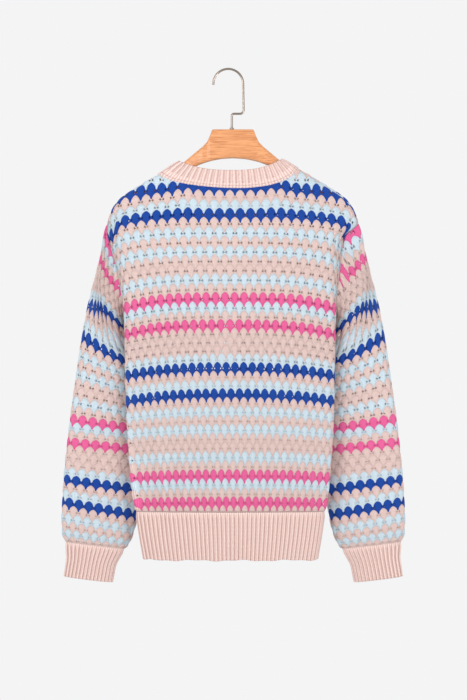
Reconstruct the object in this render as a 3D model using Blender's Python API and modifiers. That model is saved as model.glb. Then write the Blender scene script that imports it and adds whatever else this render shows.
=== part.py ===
"""A long-sleeved knitted sweater hanging on a curved wooden hanger.

Blender 4.5 script, in metres, +Z up. The garment's back faces -Y and its front +Y.
The origin is the top inside the hook, where the hook rests on a rail. Every cloth
piece is a closed wall around a middle surface: the torso is a loft through levels,
the sleeves are lofts through tilted rings, and the rib bands continue their edges.
"""

import math
from collections import namedtuple

import bpy
import numpy as np

MM = 0.001

# --- Cloth ------------------------------------------------------------------
WALL = 2.5 * MM  # thickness of the knitted wall
SEAM_GAP = 0.3 * MM  # clear space between two sewn pieces
RIB_RELIEF = 1.2 * MM  # how far a rib's ridge stands out of its wall

# --- Torso, measured from the garment's own centre line, in millimetres -------
# swing is the share of the hanger's forward curve that the cloth still follows.
# turn is how far round its section, in degrees, the back panel reaches from the
# middle of the back: past 90 it wraps forward round the side to the side seam.
Level = namedtuple("Level", "z half_width half_depth centre_x swing turn")
TORSO_LEVELS = (
    Level(-100, 208.0, 30, 7.7, 1.00, 65),
    Level(-251, 208.0, 33, 7.7, 1.00, 65),
    Level(-274, 199.0, 35, 7.0, 0.97, 66),
    Level(-304, 189.0, 37, 6.0, 0.90, 69),
    Level(-330, 184.5, 39, 5.0, 0.83, 73),
    Level(-365, 178.5, 40, 4.0, 0.74, 81),
    Level(-392, 175.4, 41, 3.3, 0.67, 94),
    Level(-409, 174.0, 41, 3.0, 0.62, 115),
    Level(-500, 172.0, 34, 3.0, 0.48, 115),
    Level(-578, 170.0, 30, 3.2, 0.40, 115),
    Level(-616, 168.0, 28, 3.3, 0.36, 115),
    Level(-663, 164.5, 26, 3.0, 0.31, 115),
    Level(-692, 162.0, 25, 3.0, 0.28, 115),
    Level(-719, 158.0, 23.5, 3.3, 0.26, 115),
    Level(-728.5, 155.5, 23, 3.5, 0.25, 115),
    Level(-770, 149.0, 22, 3.7, 0.23, 115),
    Level(-807, 142.5, 21, 3.8, 0.22, 115),
)
FRONT_TURN = 65  # the same for the front panel, from the middle of the front
WRAP_START = 0.8  # share of a panel's half width where it starts to wrap
HEM_TOP = -728.5
HEM_BOTTOM = -807.0
UNDERARM = -409.0
SECTION_POWER = 2.6  # 2 would be an ellipse, more is a flatter back with tighter sides

# The line of the shoulders over the hanger, from the neck out to the armhole.
Crest = namedtuple("Crest", "reach z")
SHOULDER_LINE = (
    Crest(0, -108.0),
    Crest(60, -133.0),
    Crest(85.4, -148.5),
    Crest(114, -166.0),
    Crest(127.5, -174.4),
    Crest(160, -193.7),
    Crest(183.5, -209.2),
    Crest(198, -225.7),
    Crest(205, -241.0),
    Crest(208, -251.0),
)
SHOULDER_REACH = 208.0
SHOULDER_ROUND = 12.0  # radius of the cloth where it bends over the hanger
SHOULDER_FALL = 220.0  # height over which the cloth spreads to its full depth
FORWARD_CURVE = 25.0  # how far the hanger's tips stand in front of its middle
FORWARD_REACH = 190.0

# --- Neck ---------------------------------------------------------------------
NECK_REACH = 114.0  # half width of the neck seam
NECK_SHARE = NECK_REACH / SHOULDER_REACH
Neckline = namedtuple("Neckline", "seam_z seam_power band_z band_power band_lean")
BACK_NECK = Neckline(-195.7, 4.0, -166.4, 2.6, 2.5)
FRONT_NECK = Neckline(-250.0, 2.6, -221.0, 2.6, 4.0)
BAND_REACH = 85.4  # half width of the neckband's free edge
BAND_CORNER_Z = -149.0

# --- Soft vertical troughs that fall from the chest to the hem -------------------
Trough = namedtuple("Trough", "face across top bottom depth")
TROUGHS = (
    Trough(-1, -0.73, -520, -735, 4.0),
    Trough(-1, -0.50, -600, -725, 3.0),
    Trough(-1, 0.60, -560, -728, 3.0),
    Trough(1, -0.60, -540, -730, 4.0),
    Trough(1, 0.35, -590, -728, 3.0),
    Trough(1, 0.73, -500, -735, 4.5),
)
TROUGH_WIDTH = 0.055  # half width, as a share of the torso's half width

# --- Grid lines of a torso panel -------------------------------------------------
HALF_COLUMNS = (0, 0.12, 0.24, 0.35, 0.44, 0.50, 0.535, NECK_SHARE)
OUTER_COLUMNS = (0.60, 0.66, 0.73, 0.80, 0.865, 0.92, 0.965, 0.99, 1.0)
ARMHOLE_SHARE = (UNDERARM + 251) / (HEM_TOP + 251)
ARMHOLE_ROWS = (0, 0.012, 0.042, 0.10, 0.21, 0.34, 0.48, 0.62, 0.76, 0.88, 0.96, 1.0)
LOWER_ROWS = (0.11, 0.24, 0.37, 0.50, 0.63, 0.75, 0.86, 0.95, 1.0)

# --- Sleeves, measured from the line midway between them, in millimetres ---------
# A ring runs from an outer point, down the back to an inner point, and round the
# front. row counts knitted rows from the armhole; bow lifts a ring's middle; curl is
# how late along the ring its inner end turns forward, in front of the body.
Ring = namedtuple(
    "Ring", "row outer_x outer_y outer_z inner_x inner_y inner_z half_depth bow curl inner_centre"
)
SLEEVE_RINGS = (
    Ring(0.0, 208.5, 30, -251, 161.0, 32, -409, 15, 8, 3.0, 3.0),
    Ring(1.0, 212.6, 30, -262, 165.0, 43, -416, 20, 12, 3.0, 3.0),
    Ring(2.5, 216.2, 29, -285, 166.0, 55, -424, 24, 18, 3.0, 3.0),
    Ring(4.0, 220.3, 29, -309, 164.0, 64, -433, 27, 24, 3.0, 3.2),
    Ring(9.0, 239.0, 26, -388, 155.0, 72, -460, 28, 18, 2.2, 4.0),
    Ring(12.0, 249.4, 26, -440, 149.0, 72, -486, 27, 7, 1.7, 4.5),
    Ring(16.0, 259.1, 27, -502, 146.0, 68, -533, 25, 2, 1.4, 5.5),
    Ring(21.0, 270.0, 29, -577, 147.0, 62, -596, 23, 0, 1.2, 7.0),
    Ring(24.0, 274.6, 30, -615, 149.0, 59, -629, 22, 0, 1.1, 7.8),
    Ring(29.0, 281.1, 32, -677, 155.0, 54, -695, 21, 0, 1.0, 8.4),
    Ring(32.0, 283.3, 33, -714, 160.7, 50, -737, 21, 0, 1.0, 8.4),
    Ring(34.0, 284.6, 34, -741, 166.0, 48, -762, 20, 0, 1.0, 8.4),
    Ring(36.0, 283.8, 35, -766, 174.2, 45, -783, 18, 0, 1.0, 8.4),
    Ring(37.4, 279.0, 36, -781, 181.5, 42, -793, 15, 0, 1.0, 8.4),
)
SLEEVE_CENTRE_X = 8.4
SLEEVE_LOFT_ROWS = (1, 2.5, 4, 6.5, 9, 12, 15, 18, 21, 24, 27, 30, 32.5, 34.5, 36, 37.4)
SLEEVE_POWER = 2.2
ARMHOLE_BLEND_ROWS = 5.0  # rows over which a ring leaves the armhole's own outline
BODY_CLEARANCE = 4.6  # from the torso's middle surface to a sleeve's, where one lies on the other
CLEARANCE_ROWS = 2.0  # rows over which that clearance opens from the seam

CUFF_RINGS = (
    Ring(1, 276.5, 36, -808, 196.5, 41, -819, 14.5, 0, 1, 8.4),
    Ring(2, 281.0, 37, -838, 202.0, 40, -848, 15.0, 0, 1, 8.4),
)

# --- Ribs ----------------------------------------------------------------------
NECK_RIBS_BACK = 40
NECK_RIBS_FRONT = 46
HEM_RIBS = 50  # on each half of the hem
CUFF_RIBS = 30

# --- Hanger ----------------------------------------------------------------------
Slice = namedtuple("Slice", "reach top under thickness")
HANGER_SLICES = (
    Slice(0, -98.2, -145.5, 19),
    Slice(20, -98.2, -146.9, 19),
    Slice(33.0, -98.2, -149.3, 19),
    Slice(34.8, -100.0, -149.8, 19),
    Slice(37.5, -107.5, -150.5, 19),
    Slice(42.7, -118.8, -151.9, 18),
    Slice(50, -126.4, -154.3, 18),
    Slice(57.4, -132.5, -157.3, 17),
    Slice(70, -142.8, -164.0, 16),
    Slice(81, -152.0, -172.5, 15),
    Slice(95, -160.4, -182.0, 14),
    Slice(114, -170.0, -192.5, 14),
    Slice(140, -185.6, -207.8, 13),
    Slice(160, -197.6, -218.8, 13),
    Slice(175, -207.6, -226.6, 12.5),
    Slice(184, -215.0, -229.8, 12),
    Slice(188, -220.0, -229.0, 9),
)
HANGER_CENTRE_X = 7.7
HANGER_CORNER = 4.5  # radius of the wood's rounded edges
HANGER_CORNER_STEPS = 2

# --- Hook ------------------------------------------------------------------------
WIRE_RADIUS = 1.85
HOOK_RADIUS = 24.6  # of the wire's centre line
HOOK_TIP_ANGLE = 184.0  # degrees, counted from the shank's side over the top
SHANK_X = 25.4
SHANK_BEND_RADIUS = 6.0
CROSS_Z = -72.2  # where the wire crosses back to the stem
STEM_X = 5.9
STEM_BEND_RADIUS = 3.6
STEM_END_Z = -98.2 + 0.4
COLLAR_RADIUS = 3.6
COLLAR_HEIGHT = 2.4
COLLAR_GAP = 0.3
COLLAR_STEPS = 24

COLOURS = {
    "back_panel": (0.80, 0.66, 0.62),
    "front_panel": (0.77, 0.63, 0.59),
    "sleeve_left": (0.66, 0.74, 0.80),
    "sleeve_right": (0.66, 0.74, 0.80),
    "neckband": (0.79, 0.62, 0.58),
    "hem_rib_back": (0.79, 0.62, 0.58),
    "hem_rib_front": (0.76, 0.59, 0.55),
    "cuff_left": (0.79, 0.62, 0.58),
    "cuff_right": (0.79, 0.62, 0.58),
    "hanger_body": (0.76, 0.37, 0.16),
    "hanger_hook": (0.46, 0.42, 0.38),
    "hook_collar": (0.50, 0.46, 0.42),
}
METALS = ("hanger_hook", "hook_collar")


def smooth(rows, key, column, at):
    """One column of a table read anywhere along its key, on a curve that never overshoots its rows."""
    ordered = sorted(rows, key=lambda row: getattr(row, key))
    xs = np.array([getattr(row, key) for row in ordered], float)
    ys = np.array([getattr(row, column) for row in ordered], float)
    steps = np.diff(xs)
    slopes = np.diff(ys) / steps
    tangents = np.concatenate([slopes[:1], np.zeros(len(xs) - 2), slopes[-1:]])
    before, after = slopes[:-1], slopes[1:]
    same_way = before * after > 0
    tangents[1:-1][same_way] = 2 * before[same_way] * after[same_way] / (before + after)[same_way]
    at = np.clip(at, xs[0], xs[-1])
    index = np.clip(np.searchsorted(xs, at, side="right") - 1, 0, len(steps) - 1)
    t = (at - xs[index]) / steps[index]
    return (
        (2 * t**3 - 3 * t**2 + 1) * ys[index]
        + (t**3 - 2 * t**2 + t) * steps[index] * tangents[index]
        + (3 * t**2 - 2 * t**3) * ys[index + 1]
        + (t**3 - t**2) * steps[index] * tangents[index + 1]
    )


def ease(t):
    """A rise from 0 to 1 that starts and ends level."""
    t = np.clip(t, 0.0, 1.0)
    return t * t * (3 - 2 * t)


def level(column, z):
    """A column of the torso's table at the heights z."""
    return smooth(TORSO_LEVELS, "z", column, z)


def crest(reach):
    """Height of the shoulder line at a distance from the centre line."""
    return smooth(SHOULDER_LINE, "reach", "z", np.abs(reach))


def forward(reach):
    """How far the hanger's curve carries the cloth towards the front."""
    return FORWARD_CURVE * (reach / FORWARD_REACH) ** 2


def troughs(face, across, z):
    """Depth of the soft vertical troughs at a place on one face of the torso."""
    depth = np.zeros(np.broadcast(across, z).shape)
    for fold in TROUGHS:
        if fold.face != face:
            continue
        along = ease((fold.top - z) / 90) * ease((z - fold.bottom) / 40 + 1)
        depth = depth + fold.depth * along * np.exp(-(((across - fold.across) / TROUGH_WIDTH) ** 2))
    return depth


def power_of(value, exponent):
    """A power that keeps the sign of its base."""
    return np.sign(value) * np.abs(value) ** exponent


def torso(face, across, z):
    """Points of the torso's middle surface, in mm.

    face is -1 for the back and 1 for the front, across runs from -1 at a panel's left
    edge to 1 at its right one, and z is the height of each point.
    """
    half_width = level("half_width", z)
    turn = np.radians(level("turn", z) if face < 0 else FRONT_TURN + 0 * z)
    share = np.abs(across)
    widest = power_of(np.sin(np.minimum(turn, math.pi / 2)), 2 / SECTION_POWER)
    wrap = np.maximum(turn - math.pi / 2, 0) * ease((share - WRAP_START) / (1 - WRAP_START))
    angle = np.arcsin(np.clip((share * widest) ** (SECTION_POWER / 2), 0, 1)) + wrap
    flat = power_of(np.sin(np.radians(np.minimum(level("turn", z), 90))), 2 / SECTION_POWER)
    x = np.sign(across) * half_width * power_of(np.sin(angle), 2 / SECTION_POWER) / flat
    below_crest = np.clip(crest(x) - z, 0, None)
    rounding = np.sqrt(1 - (1 - np.clip(below_crest / SHOULDER_ROUND, 0, 1)) ** 2)
    spread = (level("half_depth", z) - SHOULDER_ROUND) * ease(below_crest / SHOULDER_FALL)
    side = power_of(np.cos(angle), 2 / SECTION_POWER)
    half_depth = rounding * (SHOULDER_ROUND + spread) * side - troughs(face, across, z) * side
    seam = SEAM_GAP / MM / 2 * ease((z - UNDERARM) / 40)
    y = forward(x) * level("swing", z) + face * (half_depth + seam)
    return np.stack([x + level("centre_x", z), y, z + 0 * x], axis=-1)


def neck_seam(line, reach):
    """Height of the neck seam at a distance from the centre line."""
    rise = crest(NECK_REACH) - line.seam_z
    return line.seam_z + rise * np.clip(np.abs(reach) / NECK_REACH, 0, 1) ** line.seam_power


def panel_top(face, across):
    """Height of a panel's top edge: the neck seam, then the shoulder line."""
    reach = across * SHOULDER_REACH
    line = BACK_NECK if face < 0 else FRONT_NECK
    return np.where(np.abs(reach) < NECK_REACH, neck_seam(line, reach), crest(reach))


def normals_of(grid, wraps):
    """Unit normals of a grid of points."""
    if wraps:
        along = np.roll(grid, -1, axis=1) - np.roll(grid, 1, axis=1)
    else:
        along = np.gradient(grid, axis=1)
    down = np.gradient(grid, axis=0)
    normal = np.cross(along, down)
    return normal / np.linalg.norm(normal, axis=-1, keepdims=True)


def facing(normals, outward):
    """The same normals, turned to agree with a rough outward direction."""
    return normals * (1.0 if (normals * outward).sum() > 0 else -1.0)


def keep_apart(face, grid, normals):
    """Normals that leave a panel's inner points on its own side of the shoulder line."""
    x = grid[..., 0] - level("centre_x", grid[..., 2])
    middle = forward(x) * level("swing", grid[..., 2])
    room = np.abs(grid[..., 1] - middle) - SEAM_GAP / MM / 2
    near_crest = crest(x) - grid[..., 2] < SHOULDER_ROUND
    limit = np.where(near_crest, np.clip(room / (WALL / MM / 2), 0, 1), 1.0)
    kept = normals.copy()
    kept[..., 1] = np.clip(normals[..., 1], -limit, limit)
    return kept / np.linalg.norm(kept, axis=-1, keepdims=True)


def join_sides(back, front, first_row):
    """Share the normals along a pair's side seams and open the seam gap between them."""
    for column in (0, -1):
        inner = 1 if column == 0 else -2
        shared = back[1][first_row:, column] + front[1][first_row:, column]
        shared /= np.linalg.norm(shared, axis=-1, keepdims=True)
        for grid, normals in (back, front):
            normals[first_row:, column] = shared
            pull = grid[first_row:, inner] - grid[first_row:, column]
            pull /= np.linalg.norm(pull, axis=-1, keepdims=True)
            grid[first_row:, column] += pull * SEAM_GAP / MM / 2


def signed_volume(vertices, faces):
    """Volume of a closed mesh of quads, negative where it is inside out."""
    corners = vertices[np.array(faces)]
    first = np.einsum("ij,ij->i", corners[:, 0], np.cross(corners[:, 1], corners[:, 2]))
    second = np.einsum("ij,ij->i", corners[:, 0], np.cross(corners[:, 2], corners[:, 3]))
    return (first.sum() + second.sum()) / 6


def finish_of(name):
    """The material of one piece."""
    material = bpy.data.materials.new(name)
    material.use_nodes = True
    shader = material.node_tree.nodes["Principled BSDF"]
    shader.inputs["Base Color"].default_value = (*COLOURS[name], 1.0)
    shader.inputs["Metallic"].default_value = 1.0 if name in METALS else 0.0
    shader.inputs["Roughness"].default_value = 0.35 if name in METALS else 0.85
    material.diffuse_color = (*COLOURS[name], 1.0)
    return material


def add_object(name, data, collection):
    """A named object with its own material."""
    data.materials.append(finish_of(name))
    made = bpy.data.objects.new(name, data)
    collection.objects.link(made)
    return made


def add_mesh(name, vertices, faces, collection):
    """A closed mesh from quads, with its faces pointing out."""
    if signed_volume(vertices, faces) < 0:
        faces = [face[::-1] for face in faces]
    mesh = bpy.data.meshes.new(name)
    mesh.from_pydata((vertices * MM).tolist(), [], faces)
    mesh.shade_smooth()
    mesh.set_sharp_from_angle(angle=math.radians(50))
    return add_object(name, mesh, collection)


def add_wall(name, middle, normals, collection, wraps, relief=None):
    """A wall of cloth around a grid of points; relief raises its outer points only."""
    rows, columns = middle.shape[:2]
    raised = np.zeros((rows, columns)) if relief is None else relief
    half = WALL / MM / 2
    outer = middle + normals * (half + raised)[..., None]
    inner = middle - normals * half
    vertices = np.concatenate([outer.reshape(-1, 3), inner.reshape(-1, 3)])
    inside = rows * columns
    steps = columns if wraps else columns - 1

    def corner(row, column):
        return row * columns + column % columns

    faces = []
    for row in range(rows - 1):
        for column in range(steps):
            a, b = corner(row, column), corner(row, column + 1)
            c, d = corner(row + 1, column + 1), corner(row + 1, column)
            faces.append((a, b, c, d))
            faces.append((inside + d, inside + c, inside + b, inside + a))
    for column in range(steps):
        a, b = corner(0, column), corner(0, column + 1)
        faces.append((inside + a, inside + b, b, a))
        c, d = corner(rows - 1, column), corner(rows - 1, column + 1)
        faces.append((c, d, inside + d, inside + c))
    if not wraps:
        for row in range(rows - 1):
            a, b = corner(row, 0), corner(row + 1, 0)
            faces.append((a, b, inside + b, inside + a))
            c, d = corner(row, columns - 1), corner(row + 1, columns - 1)
            faces.append((inside + c, inside + d, d, c))
    return add_mesh(name, vertices, faces, collection)


def panel_grid(face):
    """Middle surface of the back or front panel, from its top edge to the hem."""
    half = HALF_COLUMNS + OUTER_COLUMNS
    across = np.array([-share for share in half[:0:-1]] + list(half))
    lower = [ARMHOLE_SHARE + share * (1 - ARMHOLE_SHARE) for share in LOWER_ROWS]
    down = np.array([share * ARMHOLE_SHARE for share in ARMHOLE_ROWS] + lower)
    top = panel_top(face, across)
    z = top[None, :] + down[:, None] * (HEM_TOP - top)[None, :]
    return torso(face, across[None, :], z)


def resample(line, count, closed=False):
    """Points at even steps along a line, each with whatever columns the line carries."""
    if closed:
        line = np.concatenate([line, line[:1]])
    lengths = np.linalg.norm(np.diff(line[:, :3], axis=0), axis=1)
    travelled = np.concatenate([[0], np.cumsum(lengths)])
    wanted = np.linspace(0, travelled[-1], count + 1)
    wanted = wanted[:-1] if closed else wanted
    return np.stack([np.interp(wanted, travelled, column) for column in line.T], axis=-1)


def read_at(line, shares):
    """Points at the given shares of a line's length."""
    lengths = np.linalg.norm(np.diff(line[:, :3], axis=0), axis=1)
    travelled = np.concatenate([[0], np.cumsum(lengths)])
    return np.stack([np.interp(shares * travelled[-1], travelled, column) for column in line.T], axis=-1)


def shares_of(line):
    """How far along a line each of its points lies, from 0 to 1."""
    travelled = np.concatenate([[0], np.cumsum(np.linalg.norm(np.diff(line, axis=0), axis=1))])
    return travelled / travelled[-1]


def rib_heights(count, rows):
    """Relief of a band of ribs: every second column is a ridge."""
    ridge = np.where(np.arange(count) % 2 == 0, 0.0, RIB_RELIEF / MM)
    return np.tile(ridge, (rows, 1))


def build_panels(collection):
    """Back and front of the body; returns each one's grid and normals."""
    made = {}
    for face in (-1, 1):
        grid = panel_grid(face)
        normals = facing(normals_of(grid, wraps=False), np.array([0.0, face, 0.0]))
        made[face] = (grid, keep_apart(face, grid, normals))
    join_sides(made[-1], made[1], len(ARMHOLE_ROWS) - 1)
    for face, name in ((-1, "back_panel"), (1, "front_panel")):
        add_wall(name, *made[face], collection, wraps=False)
    return made


def build_hem(panels, collection):
    """Rib band under each panel."""
    bands = []
    for face in (-1, 1):
        grid, normals = panels[face]
        edge = resample(np.concatenate([grid[-1], normals[-1]], axis=-1), 2 * HEM_RIBS)
        rows = [edge[:, :3] - [0, 0, SEAM_GAP / MM]]
        for z in ((HEM_TOP + HEM_BOTTOM) / 2, HEM_BOTTOM):
            turn = np.sin(np.linspace(-math.pi / 2, math.pi / 2, 20 * HEM_RIBS + 1))
            rows.append(resample(torso(face, turn, z + 0 * turn), 2 * HEM_RIBS))
        middle = np.stack(rows)
        outward = facing(normals_of(middle, wraps=False), np.array([0.0, face, 0.0]))
        outward[0] = edge[:, 3:] / np.linalg.norm(edge[:, 3:], axis=-1, keepdims=True)
        bands.append((middle, outward))
    join_sides(bands[0], bands[1], 1)
    for name, (middle, outward) in zip(("hem_rib_back", "hem_rib_front"), bands):
        relief = rib_heights(middle.shape[1], len(middle))
        relief[:, [0, -1]] = 0.0
        add_wall(name, middle, outward, collection, wraps=False, relief=relief)


def neck_edge(panels):
    """The neck seam as a loop of points with normals: along the back, then along the front."""
    loop = []
    for face, turn in ((-1, 1), (1, -1)):
        grid, normals = panels[face]
        middle = grid.shape[1] // 2
        reach = len(HALF_COLUMNS) - 1
        part = np.concatenate([grid[0], normals[0]], axis=-1)[middle - reach : middle + reach + 1]
        loop.append(part[::turn])
    return loop


def band_top(point):
    """Where a point of the neck seam's loop reaches the neckband's free edge."""
    line = BACK_NECK if point[1] < forward(point[0]) else FRONT_NECK
    x = point[0] - HANGER_CENTRE_X
    share = min(abs(x) / NECK_REACH, 1.0)
    rise = (BAND_CORNER_Z - line.band_z) * share**line.band_power
    lean = line.band_lean * (1 - share**2)
    towards_middle = lean if line is BACK_NECK else -lean
    y = point[1] + towards_middle - (forward(x) - forward(x * BAND_REACH / NECK_REACH))
    return [HANGER_CENTRE_X + x * BAND_REACH / NECK_REACH, y, line.band_z + rise]


def build_neckband(panels, collection):
    """Ribbed ring that stands on the neck seam."""
    back, front = neck_edge(panels)
    parts = [resample(back, 2 * NECK_RIBS_BACK)[:-1], resample(front, 2 * NECK_RIBS_FRONT)[:-1]]
    loop = np.concatenate(parts)
    seam, outward = loop[:, :3], loop[:, 3:]
    outward = outward / np.linalg.norm(outward, axis=-1, keepdims=True)
    free = np.array([band_top(point) for point in seam])
    rise = free - seam
    lifted = seam + rise / np.linalg.norm(rise, axis=-1, keepdims=True) * SEAM_GAP / MM
    middle = np.stack([lifted, (lifted + free) / 2, free])
    centre = middle.mean(axis=(0, 1))
    normals = facing(normals_of(middle, wraps=True), middle - centre)
    normals[0] = outward
    relief = rib_heights(middle.shape[1], 3)
    relief[0] = 0.0
    add_wall("neckband", middle, normals, collection, wraps=True, relief=relief)


def ring_at(rows, row):
    """A sleeve ring read anywhere along its table."""
    return Ring(*[row] + [float(smooth(rows, "row", column, row)) for column in Ring._fields[1:]])


def ring_ends(side, ring):
    """Outer and inner point of a ring on one side of the garment."""
    outer = np.array([SLEEVE_CENTRE_X + side * ring.outer_x, ring.outer_y, ring.outer_z])
    inner = np.array([ring.inner_centre + side * ring.inner_x, ring.inner_y, ring.inner_z])
    return outer, inner


def oval(side, ring, shares):
    """A sleeve ring as points at given shares of its length, from its outer point round the back."""
    outer, inner = ring_ends(side, ring)
    chord = inner - outer
    along = chord / np.linalg.norm(chord)
    back = -np.array([0.0, 1.0, 0.0]) + along[1] * along
    back /= np.linalg.norm(back)
    lift = -side * np.array([along[2], 0.0, -along[0]])
    lift /= np.linalg.norm(lift)
    angle = np.linspace(0, 2 * math.pi, 241)
    cosine = np.sign(np.cos(angle)) * np.abs(np.cos(angle)) ** (2 / SLEEVE_POWER)
    sine = np.sign(np.sin(angle)) * np.abs(np.sin(angle)) ** (2 / SLEEVE_POWER)
    share = (1 - cosine) / 2
    points = (
        outer
        + share[:, None] * chord
        + (ring.half_depth * sine)[:, None] * back
        + (ring.bow * 4 * share * (1 - share))[:, None] * lift
    )
    points[:, 1] += (share**ring.curl - share) * chord[1]
    return read_at(points, shares)


def clear_of_torso(ring, clearance):
    """Sleeve points moved straight out of the torso's section, to lie just clear of it."""
    moved = ring.copy()
    z = moved[:, 2]
    centre, swing = level("centre_x", z), level("swing", z)
    width, depth = level("half_width", z) + clearance, level("half_depth", z) + clearance
    below = np.clip((crest(moved[:, 0] - centre) - z) / SHOULDER_FALL, 0, 1)
    depth = SHOULDER_ROUND + clearance + (depth - clearance - SHOULDER_ROUND) * ease(below)
    power = SECTION_POWER + 3.4 * ease((90 - level("turn", z)) / 20)
    for _ in range(5):
        x = moved[:, 0] - centre
        y = moved[:, 1] - forward(x) * swing
        a, b = np.abs(x) / width, np.abs(y) / depth
        inside = np.clip(1 - (a**power + b**power) ** (1 / power), 0, None)
        slope_x = a ** (power - 1) / width * np.sign(x)
        slope_y = b ** (power - 1) / depth * np.where(y < 0, -1.0, 1.0)
        steep = np.hypot(slope_x, slope_y)
        reach = inside / np.maximum(steep, 1e-9)
        moved[:, 0] += np.clip(reach, 0, 20) * slope_x / np.maximum(steep, 1e-9)
        moved[:, 1] += np.clip(reach, 0, 20) * slope_y / np.maximum(steep, 1e-9)
    return moved


def armhole(side, panels):
    """The armhole's outline, from the shoulder down the back and up the front.

    Each point carries the panel's normal there and the way its cloth runs off its edge.
    """
    column, inner = (-1, -2) if side > 0 else (0, 1)
    count = len(ARMHOLE_ROWS)
    parts = []
    for face, turn in ((-1, 1), (1, -1)):
        grid, normals = panels[face]
        off = grid[:count, column] - grid[:count, inner]
        off /= np.linalg.norm(off, axis=-1, keepdims=True)
        edge = np.concatenate([grid[:count, column], normals[:count, column], off], axis=-1)
        parts.append(edge[::turn])
    back, front = parts
    loop = np.concatenate([back, front[1:-1]])
    shoulder = (back[0] + front[-1]) / 2
    underarm = (back[-1] + front[0]) / 2
    loop[0], loop[len(back) - 1] = shoulder, underarm
    return loop, len(back) - 1


def build_sleeve(side, panels, collection):
    """A sleeve from the armhole to the cuff; returns its last ring with normals."""
    seam, under = armhole(side, panels)
    count = len(seam)
    closed_seam = np.concatenate([seam[:, :3], seam[:1, :3]])
    seam_shares = shares_of(closed_seam)[:-1]
    even_shares = np.concatenate(
        [np.linspace(0, 0.5, under + 1)[:-1], np.linspace(0.5, 1, count - under + 1)[:-1]]
    )
    down = np.where(seam_shares < 0.5, seam_shares * 2, 2 - seam_shares * 2)
    first_outer, first_inner = ring_ends(side, ring_at(SLEEVE_RINGS, 0.0))
    rings = [seam[:, :3]]
    for row in SLEEVE_LOFT_ROWS:
        ring = ring_at(SLEEVE_RINGS, row)
        outer, inner = ring_ends(side, ring)
        shares = seam_shares + (even_shares - seam_shares) * ease(row / 10)
        turned = np.stack([down, down**ring.curl, down], axis=-1)
        carried = rings[0] + (outer - first_outer) * (1 - turned) + (inner - first_inner) * turned
        own = ease(row / ARMHOLE_BLEND_ROWS)
        placed = carried + (oval(side, ring, shares) - carried) * own
        rings.append(clear_of_torso(placed, BODY_CLEARANCE * min(row / CLEARANCE_ROWS, 1)))
    middle = np.stack(rings)
    centres = middle.mean(axis=1, keepdims=True)
    normals = facing(normals_of(middle, wraps=True), middle - centres)
    kept = (1 - ease((down - 0.4) / 0.35))[:, None]
    shared = seam[:, 3:6] * kept + normals[0] * (1 - kept)
    normals[0] = shared / np.linalg.norm(shared, axis=-1, keepdims=True)
    leaving = middle[1] - middle[0]
    leaving /= np.linalg.norm(leaving, axis=-1, keepdims=True)
    turned = 0.5 + np.abs((seam[:, 3:6] * leaving).sum(axis=-1))
    crossing = 0.2 * ease((0.2 - down) / 0.15) + (1 - kept[:, 0]) * turned
    apart = seam[:, 6:9] + 0.6 * leaving + 3 * seam[:, 3:6] * ease((down - 0.93) / 0.07)[:, None]
    edge = np.roll(middle[0], -1, axis=0) - np.roll(middle[0], 1, axis=0)
    edge /= np.linalg.norm(edge, axis=-1, keepdims=True)
    apart -= (apart * edge).sum(axis=-1, keepdims=True) * edge
    apart /= np.linalg.norm(apart, axis=-1, keepdims=True)
    middle[0] += apart * (2.5 * SEAM_GAP / MM + WALL / MM * 0.8 * crossing)[:, None]
    name = "sleeve_right" if side > 0 else "sleeve_left"
    add_wall(name, middle, normals, collection, wraps=True)
    return middle[-1], normals[-1]


def build_cuff(side, last_ring, last_normals, collection):
    """Ribbed cuff that continues the sleeve's last ring."""
    loop = np.concatenate([last_ring, last_normals], axis=-1)
    edge = resample(loop, 2 * CUFF_RIBS, closed=True)
    shares = np.arange(2 * CUFF_RIBS) / (2 * CUFF_RIBS)
    lower = [oval(side, ring, shares) for ring in CUFF_RINGS]
    fall = lower[0].mean(axis=0) - edge[:, :3].mean(axis=0)
    fall /= np.linalg.norm(fall)
    middle = np.stack([edge[:, :3] + fall * SEAM_GAP / MM, *lower])
    centres = middle.mean(axis=1, keepdims=True)
    normals = facing(normals_of(middle, wraps=True), middle - centres)
    normals[0] = edge[:, 3:] / np.linalg.norm(edge[:, 3:], axis=-1, keepdims=True)
    relief = rib_heights(2 * CUFF_RIBS, len(middle))
    name = "cuff_right" if side > 0 else "cuff_left"
    add_wall(name, middle, normals, collection, wraps=True, relief=relief)


def slice_outline(piece):
    """Outline of one slice through the hanger: a rectangle with rounded corners, as y and z."""
    radius = min(HANGER_CORNER, piece.thickness / 2 - 0.5, (piece.top - piece.under) / 2 - 0.5)
    points = []
    for quarter in range(4):
        across = (1, -1, -1, 1)[quarter] * (piece.thickness / 2 - radius)
        middle = (piece.top + piece.under) / 2
        up = middle + (1, 1, -1, -1)[quarter] * ((piece.top - piece.under) / 2 - radius)
        for step in range(HANGER_CORNER_STEPS + 1):
            angle = math.pi / 2 * (quarter + step / HANGER_CORNER_STEPS)
            points.append((across + radius * math.cos(angle), up + radius * math.sin(angle)))
    return points


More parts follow.
